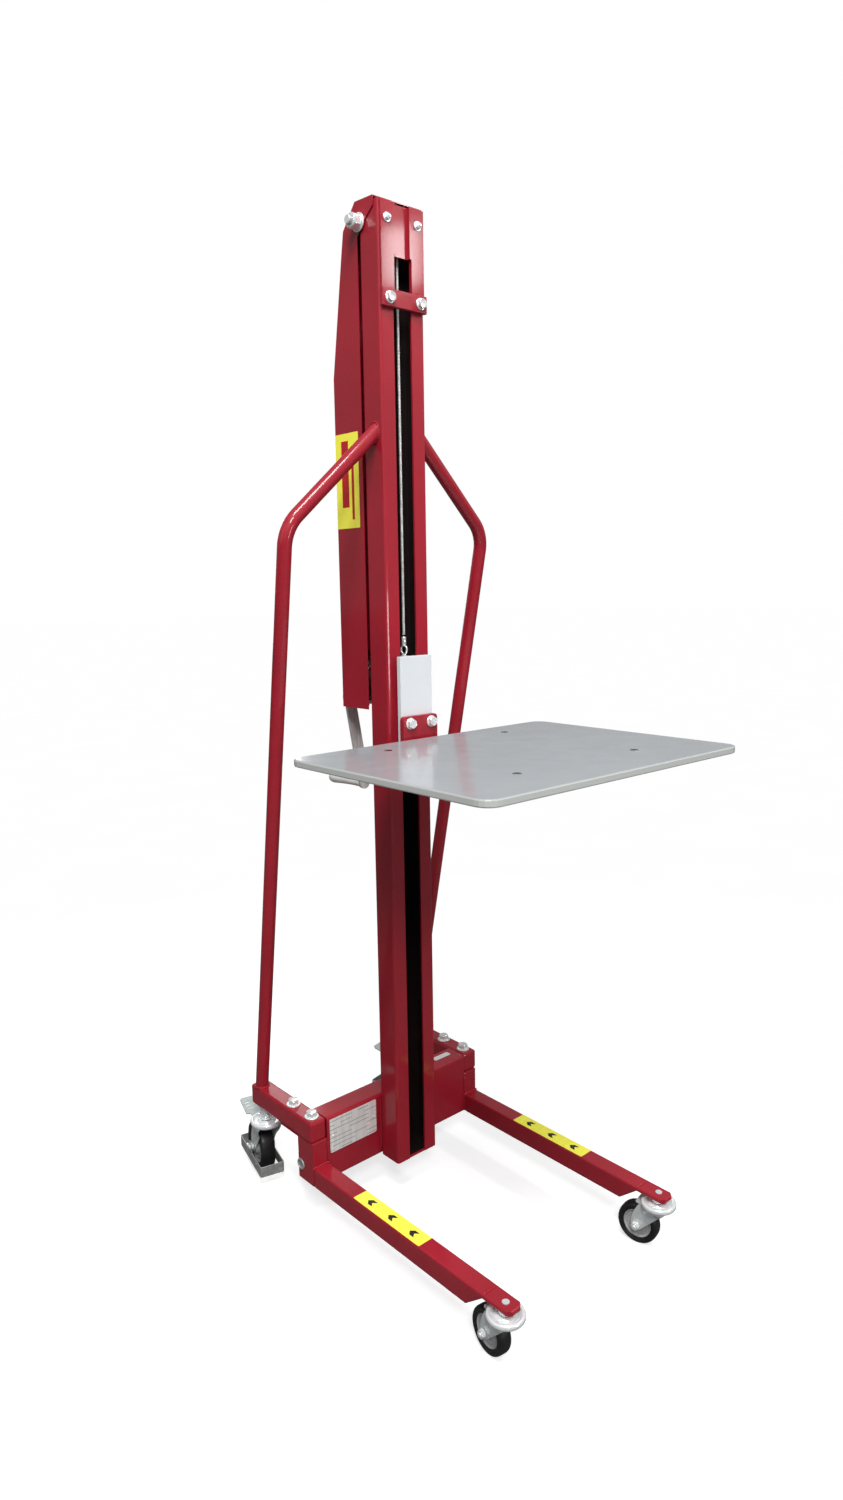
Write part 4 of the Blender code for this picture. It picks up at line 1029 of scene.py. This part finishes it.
# ------ rope and crank
def add_rope(mats):
    """The stranded lift rope and its end fitting."""
    low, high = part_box("lift_rope")
    x, y, _ = centre_of("lift_rope")
    count = int((high.z - low.z) / 0.003)
    path = [(x, y, low.z + (high.z - low.z) * i / count) for i in range(count + 1)]
    bm = tube(path, ROPE_RADIUS * 0.93, 18, twist=2 * pi / ROPE_LAY, lobes=6, lobe_depth=0.09)
    rope = piece("lift_rope_strands", bm, mats["rope"], "frame", "lift_rope", 60, False)
    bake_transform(rope)

    foot = lathe(mm((0, 0), (6.2, 0), (6.2, 1.6), (4.0, 2.6), (2.6, 4.0), (0, 4.0)), 32)
    ring = [(0.0, 0.0078 * s * (1.0 + 0.10 * c), 0.0112 + 0.0082 * c) for c, s in circle(36)]
    eye = tube(ring, 0.0019, 14, True)
    ferrule = lathe(mm((0, 18.0), (3.6, 18.6), (4.2, 20.0), (4.2, 33.5), (3.6, 35.2), (0, 35.8)), 28)
    socket_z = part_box("rope_socket")[0].z
    bm = moved(merged(foot, eye, ferrule), Matrix.Translation((x, y, socket_z)))
    piece("rope_thimble", bm, mats["chrome"], "carriage", "rope_socket")


def add_crank(frame, mats):
    """The crank arm as a flat bar with eased edges, its nut and its turned grip."""
    centre, _ = joint(frame, "crank_spin")
    nut_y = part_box("crank_nut")[0].y
    outline = []
    for end, start in ((0.0, 0), (-CRANK_LENGTH, 180)):
        for i in range(17):
            angle = radians(start + 180 * i / 16)
            outline.append((CRANK_BAR_HALF * cos(angle), end + CRANK_BAR_HALF * sin(angle)))
    bar = bevel_edges(slab(outline, 0.0, CRANK_BAR_THICK), 0.0008, 2)
    pin = lathe(mm((0, 1), (4.2, 1), (4.2, 105.0), (3.6, 106.0), (0, 106.0)), 24)
    bar = merged(bar, moved(pin, Matrix.Translation((0.0, -CRANK_LENGTH, 0.0))))
    swing = Matrix.Translation((centre.x, nut_y - NODE_GAP, centre.z))
    swing = swing @ Matrix.Rotation(-CRANK_LEAN, 4, "Y")
    stand = Matrix(((1, 0, 0, 0), (0, 0, 1, -CRANK_BAR_THICK), (0, 1, 0, 0), (0, 0, 0, 1)))
    piece("crank_bar", moved(bar, swing @ stand), mats["bar"], "crank", "crank_arm")

    bm = merged(washer_mesh(0.0090, 0.0063, 0.0, 0.0014), hex_head(0.0165, 0.0015, 0.0078, 0.0003))
    bm = moved(bm, at((centre.x, nut_y, centre.z), BACK))
    piece("crank_nut_head", bm, mats["zinc"], "crank", "crank_nut")

    x, _, z = centre_of("crank_grip")
    profile = mm((4.5, 0), (7.6, 0), (8.4, 0.6), (9.7, 4.2), (9.8, 6.0), (9.2, 8.5), (9.2, 28.0))
    profile += mm((9.6, 42.0), (10.6, 61.0), (12.0, 80.0), (12.7, 88.5), (12.6, 94.0), (11.4, 98.2))
    profile += mm((8.8, 99.7), (4.5, 99.8))
    bm = moved(lathe(profile, 56, True), at((x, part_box("crank_grip")[0].y, z), BACK))
    piece("crank_grip_sleeve", bm, mats["grip"], "grip", "crank_grip")


# ------ labels
def film(name, size, matrix, mat, marks=(), mark_mat=None):
    """A thin rounded sticker, with plain raised-ink shapes if asked."""
    bm = slab(rounded_outline(*size, 0.002, 4), 0.00005, 0.00025)
    count = len(bm.faces)
    if marks:
        bm = merged(bm, *[slab(outline, 0.00025, 0.00033) for outline in marks])
    obj = piece(name, moved(bm, matrix), [mat, mark_mat or mat], "frame")
    paint_faces(obj, lambda face: face.index >= count)


def add_labels(mats):
    """Plain stickers with no lettering."""
    half_x, half_y, y, z = COVER_LABEL
    matrix = at(row(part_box("rear_cover")[0].x, y, z), (-1, 0, 0))
    bars = []
    for x, y, w, h in COVER_BARS:
        bars.append([(x - w, y - h), (x + w, y - h), (x + w, y + h), (x - w, y + h)])
    film("cover_label", (half_x, half_y), matrix, mats["yellow"], bars, mats["label_red"])
    chevron = mm((-7, -10), (0, -3), (7, -10), (7, 1), (0, 8), (-7, 1))
    marks = [[(x, y + CHEVRON_PITCH * k) for x, y in chevron] for k in (-1, 0, 1)]
    for label, _ in SIDES:
        leg = f"leg_{label}"
        matrix = Matrix.Translation(row(centre_of(leg).x, LEG_LABEL_Y[label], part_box(leg)[1].z))
        film(f"leg_label_{label}", LEG_LABEL, matrix, mats["yellow"], marks, mats["ink"])
    matrix = Matrix.Translation(row(*BEAM_LABEL_PLACE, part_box("cross_beam")[1].z))
    film("beam_label", BEAM_LABEL, matrix, mats["white_film"])


def add_rating_plate(mats):
    """The blank rating plate and its two rivets."""
    low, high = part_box("name_plate")
    width, thick, height = high - low
    plate = slab(rounded_outline(width / 2, height / 2, 0.003, 5), 0.0, thick)
    parts = [bevel_edges(plate, 0.0002, 1)]
    for _, side in SIDES:
        rivet = lathe(mm((0, 0), (2.2, 0), (2.4, 0.4), (1.8, 1.2), (0, 1.6)), 24)
        parts.append(moved(rivet, Matrix.Translation((side * RIVET_X, 0.0, thick))))
    x, _, z = centre_of("name_plate")
    bm = moved(merged(*parts), at((x, high.y, z), FRONT))
    piece("rating_plate_blank", bm, mats["plate"], "frame", "name_plate")


# ------ finishes of the CAD nodes
def finish_nodes(frame, mats):
    """Gives every CAD node the finish of its material slot, apart from two that have their own."""
    slots = {
        "red_paint": "red",
        "zinc": "zinc",
        "bare_steel": "steel",
        "platform_grey": "platform",
        "pale_paint": "pale",
        "tyre_rubber": "rubber",
        "hub_grey": "hub",
        "rope_steel": "rope",
        "grip_plastic": "grip",
    }
    wanted = {entry["node"]: slots[entry["material_slot"]] for entry in frame["record"]["subparts"]}
    wanted["mast_channel"] = "mast_red"
    # Painted shade: the winch bracket is made near-black so that the inside of the cover reads as shade.
    wanted["winch_bracket"] = "winch_shade_black"
    for name, obj in frame["nodes"].items():
        obj.data.materials.clear()
        obj.data.materials.append(mats[wanted[name]])


# ------ studio
def floor_material():
    """Pale near the object, running out to white. To all but the camera it is a dull grey."""
    mat, tree, shader = new_material("studio_floor")
    tree.nodes.remove(shader)
    camera_ray = node(tree, "LightPath").outputs["Is Camera Ray"]
    reach = node(tree, "VectorMath", {0: place(tree)}, operation="LENGTH").outputs["Value"]
    far = spread(tree, reach, 0.0, 1.0, 0.9, 2.2)
    speck = noise_range(tree, 3.0, 2.0, 0.99, 1.0)
    matte = node(tree, "BsdfDiffuse", {"Color": (0.60, 0.60, 0.60)}).outputs["BSDF"]
    glow = node(tree, "Emission", {"Strength": FLOOR_GLOW}).outputs["Emission"]
    near = node(tree, "AddShader", {0: matte, 1: glow}).outputs["Shader"]
    white = node(tree, "Emission", {"Strength": speck}).outputs["Emission"]
    seen = node(tree, "MixShader", {0: far, 1: near, 2: white}).outputs["Shader"]
    dull = node(tree, "BsdfDiffuse", {"Color": (0.16, 0.16, 0.16)}).outputs["BSDF"]
    both = node(tree, "MixShader", {0: camera_ray, 1: dull, 2: seen}).outputs["Shader"]
    feed(tree, tree.nodes["Material Output"].inputs["Surface"], both)
    return mat


def add_floor():
    bm = bmesh.new()
    corners = ((-1, -1), (1, -1), (1, 1), (-1, 1))
    bm.faces.new([bm.verts.new((x * FLOOR_HALF, y * FLOOR_HALF, 0)) for x, y in corners])
    mesh = bpy.data.meshes.new("studio_floor")
    bm.to_mesh(mesh)
    bm.free()
    mesh.materials.append(floor_material())
    link("studio_floor", mesh)


def add_world():
    """White to the camera, and dimmer as a light."""
    world = bpy.data.worlds.new("studio")
    bpy.context.scene.world = world
    world.use_nodes = True
    tree = world.node_tree
    camera_ray = node(tree, "LightPath").outputs["Is Camera Ray"]
    strength = spread(tree, camera_ray, WORLD_LIGHT, 1.0, 0.0, 1.0)
    feed_all(tree, tree.nodes["Background"], {"Color": (1.0, 1.0, 1.0), "Strength": strength})


def add_lights():
    for name, spot, aim, width, height, power in LIGHTS:
        light = bpy.data.lights.new(name, "AREA")
        light.shape = "RECTANGLE"
        light.size = width
        light.size_y = height
        light.energy = power
        link(name, light).matrix_world = at(spot, Vector(spot) - Vector(aim))


def add_camera():
    heading, dip, roll = (radians(angle) for angle in CAMERA_TURN)
    camera = bpy.data.cameras.new("camera")
    camera.sensor_fit = "VERTICAL"
    camera.sensor_height = SENSOR_HEIGHT
    camera.lens = LENS
    obj = link("camera", camera)
    turn = Matrix.Rotation(-heading, 4, "Z") @ Matrix.Rotation(pi / 2 - dip, 4, "X")
    obj.matrix_world = Matrix.Translation(row(*CAMERA_PLACE)) @ turn @ Matrix.Rotation(roll, 4, "Z")
    bpy.context.scene.camera = obj
    bpy.context.scene.view_settings.view_transform = "Standard"


# ------ build
for startup in list(bpy.data.objects):
    bpy.data.objects.remove(startup, do_unlink=True)
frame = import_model()
mats = make_materials()
finish_nodes(frame, mats)
add_bolts(mats)
add_head_axle(mats)
add_plugs(mats)
add_platform_screws(mats)
add_handles(mats)
add_welds(mats)
for caster in ("front_left", "front_right", "rear_left", "rear_right"):
    add_caster(frame, caster, mats)
add_rope(mats)
add_crank(frame, mats)
add_labels(mats)
add_rating_plate(mats)
add_floor()
add_world()
add_lights()
add_camera()
